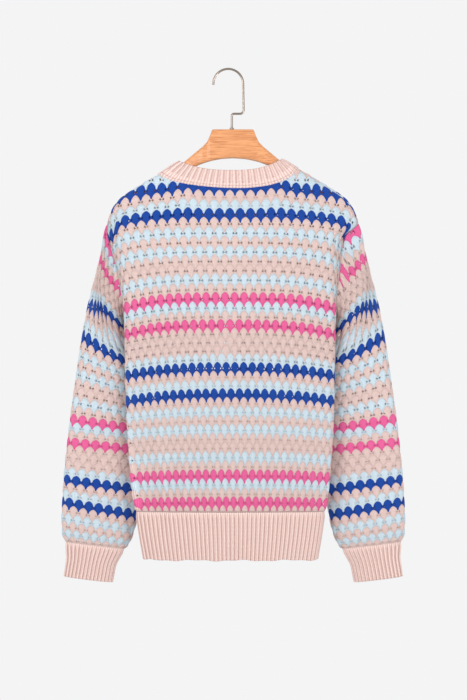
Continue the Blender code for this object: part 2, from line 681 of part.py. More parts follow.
def build_hanger(collection):
    """Wooden hanger: a loft of upright slices from tip to tip, curved forward."""
    half = list(HANGER_SLICES)
    slices = [(-1, piece) for piece in half[:0:-1]] + [(1, piece) for piece in half]
    vertices, faces = [], []
    for side, piece in slices:
        x = side * piece.reach
        outline = slice_outline(piece)
        vertices.extend((HANGER_CENTRE_X + x, forward(x) + y, z) for y, z in outline)
    count = len(slice_outline(half[0]))
    for index in range(len(slices) - 1):
        for corner in range(count):
            a = index * count + corner
            b = index * count + (corner + 1) % count
            faces.append((a, b, b + count, a + count))
    mesh = bpy.data.meshes.new("hanger_body")
    ends = [tuple(range(count))[::-1], tuple(range(len(vertices) - count, len(vertices)))]
    mesh.from_pydata((np.array(vertices) * MM).tolist(), [], faces + ends)
    mesh.shade_smooth()
    mesh.set_sharp_from_angle(angle=math.radians(35))
    add_object("hanger_body", mesh, collection)


def arc(centre, radius, start, end, steps):
    """Points on an arc in the x-z plane, with angles in degrees from +x towards +z."""
    angles = np.radians(np.linspace(start, end, steps + 1))
    return [(centre[0] + radius * math.cos(a), centre[1] + radius * math.sin(a)) for a in angles]


def hook_route():
    """Centre line of the hook, from its tip over the top, down the shank and back to the stem."""
    top = (0.0, WIRE_RADIUS - HOOK_RADIUS)
    route = arc(top, HOOK_RADIUS, HOOK_TIP_ANGLE, 0, 22)
    bend = (SHANK_X - SHANK_BEND_RADIUS, CROSS_Z + SHANK_BEND_RADIUS)
    route += arc(bend, SHANK_BEND_RADIUS, 0, -90, 6)
    turn = (STEM_X + STEM_BEND_RADIUS, CROSS_Z - STEM_BEND_RADIUS)
    route += arc(turn, STEM_BEND_RADIUS, 90, 180, 5)
    route.append((STEM_X, STEM_END_Z))
    return route


def build_hook(collection):
    """Bent wire hook and the small collar round its stem."""
    curve = bpy.data.curves.new("hanger_hook", "CURVE")
    curve.dimensions = "3D"
    curve.bevel_depth = WIRE_RADIUS * MM
    curve.bevel_resolution = 2
    curve.use_fill_caps = True
    route = hook_route()
    spline = curve.splines.new("POLY")
    spline.points.add(len(route) - 1)
    for point, (x, z) in zip(spline.points, route):
        point.co = (x * MM, 0.0, z * MM, 1.0)
    add_object("hanger_hook", curve, collection)

    profile = bpy.data.meshes.new("hook_collar")
    low = HANGER_SLICES[0].top + COLLAR_GAP
    bore = WIRE_RADIUS + COLLAR_GAP
    outline = [
        (bore, low + COLLAR_HEIGHT),
        (COLLAR_RADIUS - 0.5, low + COLLAR_HEIGHT),
        (COLLAR_RADIUS, low + COLLAR_HEIGHT - 0.6),
        (COLLAR_RADIUS, low),
        (bore, low),
    ]
    loop = [(index, (index + 1) % len(outline)) for index in range(len(outline))]
    profile.from_pydata([(x * MM, 0.0, z * MM) for x, z in outline], loop, [])
    collar = add_object("hook_collar", profile, collection)
    collar.location = (STEM_X * MM, 0.0, 0.0)
    screw = collar.modifiers.new("turn", "SCREW")
    screw.steps = screw.render_steps = COLLAR_STEPS
    screw.use_merge_vertices = True
    screw.merge_threshold = 0.00005


def clear_scene():
    """Remove whatever the scene holds."""
    for found in list(bpy.data.objects):
        bpy.data.objects.remove(found, do_unlink=True)


def main():
    """Build every piece of the sweater and its hanger."""
    clear_scene()
    collection = bpy.data.collections.new("striped_sweater")
    bpy.context.scene.collection.children.link(collection)
    panels = build_panels(collection)
    build_hem(panels, collection)
    build_neckband(panels, collection)
    for side in (-1, 1):
        last_ring, last_normals = build_sleeve(side, panels, collection)
        build_cuff(side, last_ring, last_normals, collection)
    build_hanger(collection)
    build_hook(collection)


main()
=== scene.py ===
"""Looks of a striped knitted sweater that hangs on a curved wooden hanger.

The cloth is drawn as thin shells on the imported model's own forms: a scalloped openwork
knit on the body and the sleeves, and ribbed bands at the neck, the hem and the cuffs.
Lengths in the tables are millimetres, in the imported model's frame.
"""

import logging
import math
from dataclasses import dataclass, field
from enum import Enum
from typing import NamedTuple

import bpy
import numpy as np
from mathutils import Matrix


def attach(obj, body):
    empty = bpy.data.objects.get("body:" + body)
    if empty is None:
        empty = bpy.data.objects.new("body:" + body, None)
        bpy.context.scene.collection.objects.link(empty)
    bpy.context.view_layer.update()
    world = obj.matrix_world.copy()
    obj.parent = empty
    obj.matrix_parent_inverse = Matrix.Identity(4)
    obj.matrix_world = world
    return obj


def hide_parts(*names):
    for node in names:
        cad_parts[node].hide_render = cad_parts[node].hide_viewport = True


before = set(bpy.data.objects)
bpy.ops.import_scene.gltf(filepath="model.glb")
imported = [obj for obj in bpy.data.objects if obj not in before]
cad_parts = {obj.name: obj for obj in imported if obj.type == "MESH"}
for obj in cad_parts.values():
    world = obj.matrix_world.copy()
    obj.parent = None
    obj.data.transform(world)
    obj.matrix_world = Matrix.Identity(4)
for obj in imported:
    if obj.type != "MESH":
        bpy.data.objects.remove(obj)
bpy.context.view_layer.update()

log = logging.getLogger("sweater")

MM = 0.001
PIXEL = 1.65  # mm of the garment's middle plane in one pixel of the photograph
PHOTO_HEIGHT = 700  # px
PHOTO_MIDDLE = 233.5  # px from the photograph's left edge
PHOTO_ORIGIN = 70.0  # px from the photograph's top edge down to the origin
BODY = "root"
CAMERA_REACH = 4000.0  # mm from the camera to the garment's middle plane
CAMERA_X = 8.7
CAMERA_Z = -462.0


class Face(Enum):
    """A face of the body."""

    BACK = -1
    FRONT = 1


class Side(Enum):
    """A side of the garment, as its back is seen."""

    LEFT = -1
    RIGHT = 1


class Yarn(Enum):
    """The four yarns of the stripes, by their place among a panel's finishes."""

    BEIGE = 0
    PALE_BLUE = 1
    ROYAL_BLUE = 2
    PINK = 3


# One repeat of the stripes, from the shoulder down.
STRIPES = (
    Yarn.ROYAL_BLUE,
    Yarn.BEIGE,
    Yarn.PALE_BLUE,
    Yarn.ROYAL_BLUE,
    Yarn.BEIGE,
    Yarn.PALE_BLUE,
    Yarn.BEIGE,
    Yarn.PALE_BLUE,
    Yarn.BEIGE,
    Yarn.BEIGE,
    Yarn.PALE_BLUE,
    Yarn.BEIGE,
    Yarn.PINK,
    Yarn.PALE_BLUE,
    Yarn.BEIGE,
    Yarn.PINK,
    Yarn.BEIGE,
    Yarn.BEIGE,
    Yarn.BEIGE,
    Yarn.PALE_BLUE,
)


class Level(NamedTuple):
    """The body's section at one height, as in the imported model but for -274 to -409.

    There it follows the armhole edges seen in the photograph: centre_x lies up to 10 mm to the
    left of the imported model's, and half_width differs by up to 2 mm.
    """

    z: float
    half_width: float
    half_depth: float
    centre_x: float
    swing: float
    turn: float


LEVELS = (
    Level(-100, 208.0, 30, 7.7, 1.00, 65),
    Level(-251, 208.0, 33, 7.7, 1.00, 65),
    Level(-274, 197.0, 35, -3.0, 0.97, 66),
    Level(-304, 189.5, 37, -2.0, 0.90, 69),
    Level(-330, 184.5, 39, 0.0, 0.83, 73),
    Level(-365, 178.5, 40, 1.4, 0.74, 81),
    Level(-392, 175.2, 41, 2.1, 0.67, 94),
    Level(-409, 174.0, 41, 2.6, 0.62, 115),
    Level(-500, 172.0, 34, 3.0, 0.48, 115),
    Level(-578, 170.0, 30, 3.2, 0.40, 115),
    Level(-616, 168.0, 28, 3.3, 0.36, 115),
    Level(-663, 164.5, 26, 3.0, 0.31, 115),
    Level(-692, 162.0, 25, 3.0, 0.28, 115),
    Level(-719, 158.0, 23.5, 3.3, 0.26, 115),
    Level(-728.5, 155.5, 23, 3.5, 0.25, 115),
    Level(-770, 149.0, 22, 3.7, 0.23, 115),
    Level(-807, 142.5, 21, 3.8, 0.22, 115),
)


class Crest(NamedTuple):
    """A point of the shoulder line, by its distance from the middle."""

    reach: float
    z: float


SHOULDER_LINE = (
    Crest(0, -108.0),
    Crest(60, -133.0),
    Crest(85.4, -148.5),
    Crest(114, -166.0),
    Crest(127.5, -174.4),
    Crest(160, -193.7),
    Crest(183.5, -209.2),
    Crest(198, -225.7),
    Crest(205, -241.0),
    Crest(208, -251.0),
)


class Ring(NamedTuple):
    """A loop of a sleeve, from its outer point down the back to its inner point."""

    row: float
    outer_x: float
    outer_y: float
    outer_z: float
    inner_x: float
    inner_y: float
    inner_z: float
    half_depth: float
    bow: float
    curl: float
    inner_centre: float


SLEEVE_RINGS = (
    Ring(0.0, 208.5, 30, -251, 161.0, 32, -409, 15, 8, 3.0, 3.0),
    Ring(1.0, 212.6, 30, -262, 165.0, 43, -416, 20, 12, 3.0, 3.0),
    Ring(2.5, 216.2, 29, -285, 166.0, 55, -424, 24, 18, 3.0, 3.0),
    Ring(4.0, 220.3, 29, -309, 164.0, 64, -433, 27, 24, 3.0, 3.2),
    Ring(9.0, 239.0, 26, -388, 155.0, 72, -460, 28, 18, 2.2, 4.0),
    Ring(12.0, 249.4, 26, -440, 149.0, 72, -486, 27, 7, 1.7, 4.5),
    Ring(16.0, 259.1, 27, -502, 146.0, 68, -533, 25, 2, 1.4, 5.5),
    Ring(21.0, 270.0, 29, -577, 147.0, 62, -596, 23, 0, 1.2, 7.0),
    Ring(24.0, 274.6, 30, -615, 149.0, 59, -629, 22, 0, 1.1, 7.8),
    Ring(29.0, 281.1, 32, -677, 155.0, 54, -695, 21, 0, 1.0, 8.4),
    Ring(32.0, 283.3, 33, -714, 160.7, 50, -737, 21, 0, 1.0, 8.4),
    Ring(34.0, 284.6, 34, -741, 166.0, 48, -762, 20, 0, 1.0, 8.4),
    Ring(36.0, 283.8, 35, -766, 174.2, 45, -783, 18, 0, 1.0, 8.4),
    Ring(37.4, 279.0, 36, -781, 181.5, 42, -793, 15, 0, 1.0, 8.4),
)
CUFF_RINGS = (
    SLEEVE_RINGS[-1],
    Ring(38.4, 276.5, 36, -808, 196.5, 41, -819, 14.5, 0, 1.0, 8.4),
    Ring(39.4, 281.0, 37, -838, 202.0, 40, -848, 15.0, 0, 1.0, 8.4),
)


class Crease(NamedTuple):
    """A soft fold: a line between two places, with its width and its depth into the cloth."""

    face: int
    across_top: float
    across_bottom: float
    top: float
    bottom: float
    width: float
    depth: float


# Soft folds of the body. Those deeper than 2.9 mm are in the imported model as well.
CREASES = (
    Crease(-1, -0.73, -0.73, -520, -735, 0.055, 4.0),
    Crease(-1, -0.50, -0.50, -600, -725, 0.055, 3.0),
    Crease(-1, 0.60, 0.60, -560, -728, 0.055, 3.0),
    Crease(1, -0.60, -0.60, -540, -730, 0.055, 4.0),
    Crease(1, 0.35, 0.35, -590, -728, 0.055, 3.0),
    Crease(1, 0.73, 0.73, -500, -735, 0.055, 4.5),
    Crease(-1, -0.62, -0.61, -560, -728, 0.045, -1.3),
    Crease(-1, -0.86, -0.80, -430, -640, 0.06, 2.2),
    Crease(-1, -0.20, -0.24, -610, -728, 0.06, 1.6),
    Crease(-1, 0.16, 0.20, -600, -728, 0.07, 1.4),
    Crease(-1, 0.86, 0.78, -430, -660, 0.06, 2.4),
    Crease(-1, 0.40, 0.38, -590, -728, 0.05, 1.7),
    Crease(1, -0.84, -0.78, -420, -640, 0.06, 2.4),
    Crease(1, -0.30, -0.34, -580, -728, 0.06, 1.8),
    Crease(1, 0.05, 0.08, -560, -728, 0.07, 1.8),
    Crease(1, 0.55, 0.56, -610, -728, 0.05, 1.8),
    Crease(1, 0.86, 0.80, -420, -620, 0.06, 2.4),
)


class SleeveCrease(NamedTuple):
    """A soft fold of a sleeve, by shares round the sleeve and by rows down it."""

    side: int
    share_top: float
    share_bottom: float
    row_top: float
    row_bottom: float
    width: float
    depth: float


SLEEVE_CREASES = (
    SleeveCrease(-1, 0.20, 0.22, 20, 35, 0.030, 2.6),
    SleeveCrease(-1, 0.34, 0.31, 27, 36.5, 0.026, 1.6),
    SleeveCrease(-1, 0.10, 0.12, 30, 37, 0.024, 1.5),
    SleeveCrease(-1, 0.72, 0.70, 18, 36, 0.032, 2.8),
    SleeveCrease(-1, 0.86, 0.84, 26, 37, 0.026, 1.8),
    SleeveCrease(1, 0.27, 0.25, 22, 36, 0.030, 2.4),
    SleeveCrease(1, 0.15, 0.14, 28, 37, 0.026, 1.6),
    SleeveCrease(1, 0.38, 0.36, 30, 37, 0.024, 1.4),
    SleeveCrease(1, 0.66, 0.69, 20, 36, 0.032, 2.8),
    SleeveCrease(1, 0.82, 0.80, 27, 37, 0.026, 1.8),
)


class RowMark(NamedTuple):
    """Where one knitted row lies on the body."""

    row: float
    pixel_y: float
    drop: float
    tuck: float
    rise: float


# Heights are in pixels. pixel_y was read off the photograph for rows 2 to 36 and is carried
# on past them. drop is how far the row falls towards the sides, and tuck its further fall in
# the last seventh. They are fitted to falls read in rows 3, 4, 5, 6, 8, 13, 21 and 24, and
# drop to rough readings in rows 31, 33 and 36. All other falls lie between those, or are
# estimates above row 3. rise is how far the row lifts beside the neck.
ROW_MARKS = (
    RowMark(-5, 132.2, 34.0, 12, 2.5),
    RowMark(0, 178.7, 21.0, 12, 2.5),
    RowMark(1, 188.0, 18.0, 12, 2.5),
    RowMark(2, 197.8, 15.0, 12, 2.5),
    RowMark(3, 206.1, 12.5, 13, 1.3),
    RowMark(4, 215.1, 11.5, 14, 0.6),
    RowMark(5, 224.5, 10.5, 11, 0),
    RowMark(6, 233.7, 10.5, 7, 0),
    RowMark(7, 243.2, 10.5, 6, 0),
    RowMark(8, 252.5, 10.5, 5, 0),
    RowMark(9, 262.0, 10.5, 3.7, 0),
    RowMark(10, 271.2, 10.5, 2.3, 0),
    RowMark(11, 280.7, 10.5, 1, 0),
    RowMark(12, 290.1, 10.5, 0.5, 0),
    RowMark(13, 299.4, 10.5, 0, 0),
    RowMark(14, 308.6, 10.1, 0, 0),
    RowMark(15, 317.4, 9.8, 0, 0),
    RowMark(16, 326.0, 9.4, 0, 0),
    RowMark(17, 334.6, 9.1, 0, 0),
    RowMark(18, 343.0, 8.7, 0, 0),
    RowMark(19, 351.5, 8.3, 0, 0),
    RowMark(20, 360.1, 8.0, 0, 0),
    RowMark(21, 368.9, 7.6, 0, 0),
    RowMark(22, 377.6, 7.3, 0, 0),
    RowMark(24, 395.2, 6.8, 0, 0),
    RowMark(26, 412.9, 5.7, 0, 0),
    RowMark(28, 430.6, 4.6, 0, 0),
    RowMark(30, 449.0, 3.5, 0, 0),
    RowMark(32, 467.3, 2.8, 0, 0),
    RowMark(34, 485.5, 2.1, 0, 0),
    RowMark(35, 494.6, 1.6, 0, 0),
    RowMark(36, 503.2, 1.2, 0, 0),
    RowMark(36.95, 511.5, 0.3, 0, 0),
    RowMark(38.0, 521.0, 0.0, 0, 0),
)


class PitchMark(NamedTuple):
    """Width of one scallop in the middle of the back, in pixels, at one height."""

    z: float
    pitch: float


# Each is a mean over five to seven scallops; the first and the last are carried on.
PITCH_MARKS = (
    PitchMark(-150, 10.38),
    PitchMark(-198, 10.38),
    PitchMark(-239, 10.40),
    PitchMark(-270, 10.36),
    PitchMark(-300, 10.12),
    PitchMark(-317, 10.01),
    PitchMark(-347, 9.72),
    PitchMark(-378, 9.52),
    PitchMark(-394, 9.40),
    PitchMark(-422, 9.16),
    PitchMark(-450, 8.90),
    PitchMark(-493, 8.69),
    PitchMark(-536, 8.43),
    PitchMark(-595, 8.14),
    PitchMark(-640, 7.92),
    PitchMark(-670, 7.77),
    PitchMark(-714, 7.43),
    PitchMark(-807, 7.0),
)


class SpreadMark(NamedTuple):
    """How the scallops lie out towards the sides at one height of the back."""

    z: float
    centre: float
    left: float
    right: float


# Read in rows 4, 13, 21, 24, 31, 33 and 36. centre is the middle column's place in pixels.
# left and right say how the spacing closes: the n-th scallop lies at n pitches times
# 1 - left * n / 12. They are fitted to the places read, in row 4 only out to the ninth.
SPREAD_MARKS = (
    SpreadMark(-239, 229.8, -0.013, 0.025),
    SpreadMark(-379, 229.8, 0.048, 0.028),
    SpreadMark(-493, 230.6, 0.045, 0.008),
    SpreadMark(-537, 231.1, 0.041, 0.009),
    SpreadMark(-641, 233.2, 0.036, 0.024),
    SpreadMark(-671, 232.8, 0.042, 0.026),
    SpreadMark(-715, 233.8, 0.036, 0.044),
)


class SeamMark(NamedTuple):
    """The knitted row of a sleeve that meets the armhole at one height of it."""

    z: float
    left: float
    right: float


# On the left row 1 ends at -316 and row 4 at -357, on the right at -287 and -327, as read.
# The shoulder tip's and the underarm's values are estimates.
SEAM_MARKS = (
    SeamMark(-251, 0.0, 0.0),
    SeamMark(-287, 0.6, 1.5),
    SeamMark(-316, 1.5, 3.3),
    SeamMark(-327, 2.2, 4.0),
    SeamMark(-357, 4.0, 4.7),
    SeamMark(-409, 5.4, 5.6),
)


class NeckMark(NamedTuple):
    """A point of the back neck seam."""

    reach: float
    z: float


NECK_MARKS = (
    NeckMark(-125.0, -173.0),
    NeckMark(-121.0, -176.2),
    NeckMark(-114.0, -179.2),
    NeckMark(-98.3, -183.3),
    NeckMark(-87.2, -186.3),
    NeckMark(-68.4, -189.8),
    NeckMark(-46.3, -192.8),
    NeckMark(-14.6, -195.4),
    NeckMark(6.0, -196.0),
    NeckMark(18.4, -195.8),
    NeckMark(50.2, -192.6),
    NeckMark(75.5, -186.3),
    NeckMark(88.0, -180.4),
    NeckMark(97.6, -175.0),
    NeckMark(108.6, -162.8),
)


def smooth(rows: tuple, key: str, column: str, at: np.ndarray) -> np.ndarray:
    """Reads one column of a table along its key, on a curve that never overshoots.

    Args:
        rows: the table's named rows.
        key: the column that orders them.
        column: the column to read.
        at: where to read, in the key's unit.

    Returns:
        The column's values there.
    """
    ordered = sorted(rows, key=lambda row: getattr(row, key))
    xs = np.array([getattr(row, key) for row in ordered], float)
    ys = np.array([getattr(row, column) for row in ordered], float)
    steps = np.diff(xs)
    slopes = np.diff(ys) / steps
    tangents = np.concatenate([slopes[:1], np.zeros(len(xs) - 2), slopes[-1:]])
    before, after = slopes[:-1], slopes[1:]
    same_way = before * after > 0
    tangents[1:-1][same_way] = (
        2 * before[same_way] * after[same_way] / (before + after)[same_way]
    )
    at = np.clip(at, xs[0], xs[-1])
    index = np.clip(np.searchsorted(xs, at, side="right") - 1, 0, len(steps) - 1)
    t = (at - xs[index]) / steps[index]
    return (
        (2 * t**3 - 3 * t**2 + 1) * ys[index]
        + (t**3 - 2 * t**2 + t) * steps[index] * tangents[index]
        + (3 * t**2 - 2 * t**3) * ys[index + 1]
        + (t**3 - t**2) * steps[index] * tangents[index + 1]
    )


def ease(t: np.ndarray) -> np.ndarray:
    """A rise from 0 to 1 that starts and ends level."""
    t = np.clip(t, 0.0, 1.0)
    return t * t * (3 - 2 * t)


def power_of(value: np.ndarray, exponent: float) -> np.ndarray:
    """A power that keeps the sign of its base."""
    return np.sign(value) * np.abs(value) ** exponent


def unit(vectors: np.ndarray) -> np.ndarray:
    """The same vectors at length one."""
    return vectors / np.maximum(np.linalg.norm(vectors, axis=-1, keepdims=True), 1e-9)


def drawn_at(z: np.ndarray, y: np.ndarray) -> np.ndarray:
    """Height of a point off the middle plane that the camera sees at the height z on it."""
    return CAMERA_Z + (z - CAMERA_Z) * (1 + y / CAMERA_REACH)


def photo_x(column: np.ndarray) -> np.ndarray:
    """Place across the middle plane, in mm, of a column of the photograph."""
    return CAMERA_X + (column - PHOTO_MIDDLE) * PIXEL


def read_along(line: np.ndarray, shares: np.ndarray) -> np.ndarray:
    """Points at the given shares of a line's length.

    Args:
        line: points, whose first three columns are their places.
        shares: where to read, from 0 to 1.

    Returns:
        Every column of the line, read there.
    """
    steps = np.linalg.norm(np.diff(line[:, :3], axis=0), axis=1)
    travelled = np.concatenate([[0], np.cumsum(steps)])
    return np.stack(
        [np.interp(shares * travelled[-1], travelled, column) for column in line.T],
        axis=-1,
    )


def between(table: np.ndarray, row: np.ndarray, column: np.ndarray) -> np.ndarray:
    """Reads a table of numbers or of points between its entries.

    Args:
        table: its entries by row and column.
        row: the row to read, as a number with a fraction.
        column: the column to read, likewise.

    Returns:
        The value or the point at each place.
    """
    row = np.clip(row, 0, len(table) - 1.001)
    column = np.clip(column, 0, table.shape[1] - 1.001)
    i, j = row.astype(int), column.astype(int)
    a, b = row - i, column - j
    if table.ndim == 3:
        a, b = a[..., None], b[..., None]
    return (1 - a) * ((1 - b) * table[i, j] + b * table[i, j + 1]) + a * (
        (1 - b) * table[i + 1, j] + b * table[i + 1, j + 1]
    )


def facing(normal: np.ndarray, away: np.ndarray) -> np.ndarray:
    """The normals, all turned round where most of them point against away."""
    return normal if (normal * away).sum() >= 0 else -normal


def linear(code: str) -> tuple[float, float, float, float]:
    """Turns an sRGB hex value into a linear colour.

    Args:
        code: six hex digits after a hash.

    Returns:
        Red, green, blue and alpha.
    """
    parts = [int(code[i : i + 2], 16) / 255 for i in (1, 3, 5)]
    low = [c / 12.92 if c <= 0.04045 else ((c + 0.055) / 1.055) ** 2.4 for c in parts]
    return (*low, 1.0)


# --- Finishes ----------------------------------------------------------------------


def add_node(
    tree: bpy.types.NodeTree, kind: str, settings: dict | None = None, **inputs: object
) -> bpy.types.Node:
    """Adds a node with its settings and links.

    Args:
        tree: the material's node tree.
        kind: the node's type name.
        settings: attributes of the node, such as operation.
        inputs: socket values or sockets to link, keyed by socket name, or by i and its number.

    Returns:
        The new node.
    """
    node = tree.nodes.new(kind)
    for key, value in (settings or {}).items():
        setattr(node, key, value)
    for key, value in inputs.items():
        socket = (
            node.inputs[int(key[1:])]
            if key[0] == "i" and key[1:].isdigit()
            else node.inputs[key.replace("_", " ")]
        )
        if isinstance(value, bpy.types.NodeSocket):
            tree.links.new(value, socket)
        else:
            socket.default_value = value
    return node


def new_material(name: str) -> tuple[bpy.types.Material, bpy.types.NodeTree, bpy.types.Node]:
    """Makes a material.

    Args:
        name: its name.

    Returns:
        The material, its node tree and its Principled shader.
    """
    material = bpy.data.materials.new(name)
    material.use_nodes = True
    tree = material.node_tree
    return material, tree, tree.nodes["Principled BSDF"]


class Sum(NamedTuple):
    """One step in working out a pattern: its result's name, its operation and its terms."""

    name: str
    operation: str
    terms: tuple


# One stocking stitch from its place, u across and v down, and from the yarn's unevenness.
# across and along are 0 in the middle of a leg of the stitch and 1 at its edges.
STITCH = (
    Sum("column", "FRACT", ("u",)),
    Sum("off_middle", "SUBTRACT", ("column", 0.5)),
    Sum("leg", "ABSOLUTE", ("off_middle",)),
    Sum("slant", "MULTIPLY_ADD", ("leg", 1.15, "v")),
    Sum("climb", "FRACT", ("slant",)),
    Sum("leg_side", "MULTIPLY_ADD", ("leg", 4.0, -1.0)),
    Sum("across", "ABSOLUTE", ("leg_side",)),
    Sum("climb_side", "MULTIPLY_ADD", ("climb", 2.0, -1.0)),
    Sum("along", "ABSOLUTE", ("climb_side",)),
    Sum("across_fall", "POWER", ("across", 2.2)),
    Sum("ply", "SUBTRACT", (1.0, "across_fall")),
    Sum("along_fall", "POWER", ("along", 2.6)),
    Sum("turn", "SUBTRACT", (1.0, "along_fall")),
    Sum("end", "MULTIPLY_ADD", ("turn", 0.7, 0.3)),
    Sum("height", "MULTIPLY", ("ply", "end")),
    Sum("relief", "MULTIPLY_ADD", ("hair", 0.35, "height")),
    # lit and tone: the gaps between the legs are drawn darker, which is painted shade.
    Sum("lit", "MULTIPLY", ("height", 0.80)),
    Sum("tone", "MULTIPLY_ADD", ("hair", 0.34, "lit")),
)


@dataclass(frozen=True)
class KnitCotton:
    """Plain spun cotton yarn in stocking stitch: matt, slightly hairy, with small V stitches.

    On the scallops the stitches are under 3 mm wide and about 2.2 mm tall, which is an
    estimate. Each is two legs of plied yarn that lean together, so the eye sees rows of small
    Vs with dark gaps. The gaps' darkness is painted shade in the colour, besides the bump, and
    the hair adds random tone.
    """

    name: str
    colour: str
    # Second colour: painted shade in the stitch gaps. Third: painted shade at eyelets, grooves,
    # rib gaps.
    shade: str
    painted_shade_colour: str
    stitch_height: float = 0.75 * MM
    roughness: float = 0.92
    sheen: float = 0.08
    fibre: float = 0.9 * MM  # size of the yarn's own unevenness
    wander: float = 6 * MM  # size of the patches in which the stitches stray together

    def build(self) -> bpy.types.Material:
        """Makes the material, with its stitches laid along the shell's own UV.

        Returns:
            The material.
        """
        material, tree, shader = new_material(self.name)
        uv = add_node(tree, "ShaderNodeUVMap", {"uv_map": "stitches"}).outputs[0]
        place = add_node(tree, "ShaderNodeTexCoord").outputs["Object"]
        wander = add_node(
            tree, "ShaderNodeTexNoise", Vector=place, Scale=1 / self.wander, Detail=1.0
        ).outputs["Color"]
        shift = add_node(
            tree, "ShaderNodeVectorMath", {"operation": "MULTIPLY_ADD"}, i0=wander,
            i1=(0.22, 0.22, 0.0), i2=uv,
        ).outputs[0]
        split = add_node(tree, "ShaderNodeSeparateXYZ", Vector=shift)
        hair = add_node(
            tree, "ShaderNodeTexNoise", Vector=place, Scale=1 / self.fibre, Detail=3.0,
            Roughness=0.65,
        ).outputs["Fac"]
        sums = {"u": split.outputs[0], "v": split.outputs[1], "hair": hair}
        for name, operation, terms in STITCH:
            inputs = {f"i{index}": sums.get(term, term) for index, term in enumerate(terms)}
            node = add_node(tree, "ShaderNodeMath", {"operation": operation}, **inputs)
            sums[name] = node.outputs[0]
        mix = add_node(
            tree, "ShaderNodeMix", {"data_type": "RGBA", "clamp_factor": True},
            i0=sums["tone"], i6=linear(self.shade), i7=linear(self.colour),
        )
        bump = add_node(
            tree, "ShaderNodeBump", Strength=1.0, Distance=self.stitch_height,
            Height=sums["relief"],
        )
        # Painted shade: the shade attribute darkens the colour towards the third colour.
        painted_shade_layer = add_node(tree, "ShaderNodeAttribute", {"attribute_name": "shade"}).outputs["Fac"]
        dark = add_node(
            tree, "ShaderNodeMix", {"data_type": "RGBA", "clamp_factor": True},
            i0=painted_shade_layer, i6=mix.outputs[2], i7=linear(self.painted_shade_colour),
        )
        tree.links.new(dark.outputs[2], shader.inputs["Base Color"])
        tree.links.new(bump.outputs[0], shader.inputs["Normal"])
        shader.inputs["Roughness"].default_value = self.roughness
        shader.inputs["Sheen Weight"].default_value = self.sheen
        shader.inputs["Sheen Roughness"].default_value = 0.6
        shader.inputs["Specular IOR Level"].default_value = 0.25
        return material


@dataclass(frozen=True)
class LacqueredBeech:
    """Steam-bent beech, sanded and clear lacquered: fine long grain with short dark flecks.

    Lines of grain run about 1.5 mm apart along the wood, and the rays show as brown flecks
    2 to 4 mm long. The lacquer gives a soft second gloss over the wood.
    """

    name: str = "lacquered_beech"
    colour: str = "#DE9A62"
    dark: str = "#B9703C"
    fleck: str = "#8A4A24"
    grain: float = 1.6 * MM
    ray: float = 1.1 * MM
    roughness: float = 0.42

    def build(self) -> bpy.types.Material:
        """Makes the material with its grain along X.

        Returns:
            The material.
        """
        material, tree, shader = new_material(self.name)
        place = add_node(tree, "ShaderNodeTexCoord").outputs["Object"]
        stretched = add_node(
            tree, "ShaderNodeVectorMath", {"operation": "MULTIPLY"}, i0=place, i1=(0.045, 1.0, 1.0)
        ).outputs[0]
        lines = add_node(
            tree, "ShaderNodeTexNoise", Vector=stretched, Scale=1 / self.grain, Detail=4.0,
            Roughness=0.6, Distortion=0.4,
        ).outputs["Fac"]
        spread = add_node(
            tree, "ShaderNodeMapRange", {"interpolation_type": "SMOOTHSTEP"}, Value=lines,
            From_Min=0.35, From_Max=0.70,
        ).outputs[0]
        base = add_node(
            tree, "ShaderNodeMix", {"data_type": "RGBA"}, i0=spread,
            i6=linear(self.colour), i7=linear(self.dark),
        ).outputs[2]
        rays = add_node(
            tree, "ShaderNodeVectorMath", {"operation": "MULTIPLY"}, i0=place, i1=(0.14, 1.0, 1.0)
        ).outputs[0]
        dots = add_node(
            tree, "ShaderNodeTexVoronoi", Vector=rays, Scale=1 / self.ray, Randomness=1.0
        ).outputs["Distance"]
        spot = add_node(
            tree, "ShaderNodeMapRange", {"interpolation_type": "SMOOTHSTEP"}, Value=dots,
            From_Min=0.05, From_Max=0.2, To_Min=0.35, To_Max=0.0,
        ).outputs[0]
        colour = add_node(
            tree, "ShaderNodeMix", {"data_type": "RGBA"}, i0=spot, i6=base, i7=linear(self.fleck)
        ).outputs[2]
        bump = add_node(
            tree, "ShaderNodeBump", Strength=0.15, Distance=0.1 * MM, Height=lines
        )
        tree.links.new(colour, shader.inputs["Base Color"])
        tree.links.new(bump.outputs[0], shader.inputs["Normal"])
        shader.inputs["Roughness"].default_value = self.roughness
        shader.inputs["Coat Weight"].default_value = 0.45
        shader.inputs["Coat Roughness"].default_value = 0.22
        return material


@dataclass(frozen=True)
class BrushedNickel:
    """Steel wire with nickel plate, drawn and brushed along its length: soft grey-gold gloss.

    The brushing is drawn as a grain 0.35 mm across, coarser than the real lines, so that it
    shows.
    """

    name: str = "brushed_nickel"
    colour: str = "#8F8378"
    roughness: float = 0.30
    brushing: float = 0.35 * MM
    cloud: float = 4 * MM  # size of the patches where the plate is duller

    def build(self) -> bpy.types.Material:
        """Makes the material.

        Returns:
            The material.
        """
        material, tree, shader = new_material(self.name)
        place = add_node(tree, "ShaderNodeTexCoord").outputs["Object"]
        cloud = add_node(
            tree, "ShaderNodeTexNoise", Vector=place, Scale=1 / self.cloud, Detail=3.0
        ).outputs["Fac"]
        rough = add_node(
            tree, "ShaderNodeMapRange", Value=cloud, From_Min=0.3, From_Max=0.7,
            To_Min=self.roughness - 0.06, To_Max=self.roughness + 0.1,
        ).outputs[0]
        lines = add_node(
            tree, "ShaderNodeTexNoise", Vector=place, Scale=1 / self.brushing, Detail=2.0
        ).outputs["Fac"]
        bump = add_node(tree, "ShaderNodeBump", Strength=0.12, Distance=0.05 * MM, Height=lines)
        tree.links.new(rough, shader.inputs["Roughness"])
        tree.links.new(bump.outputs[0], shader.inputs["Normal"])
        shader.inputs["Base Color"].default_value = linear(self.colour)
        shader.inputs["Metallic"].default_value = 1.0
        return material


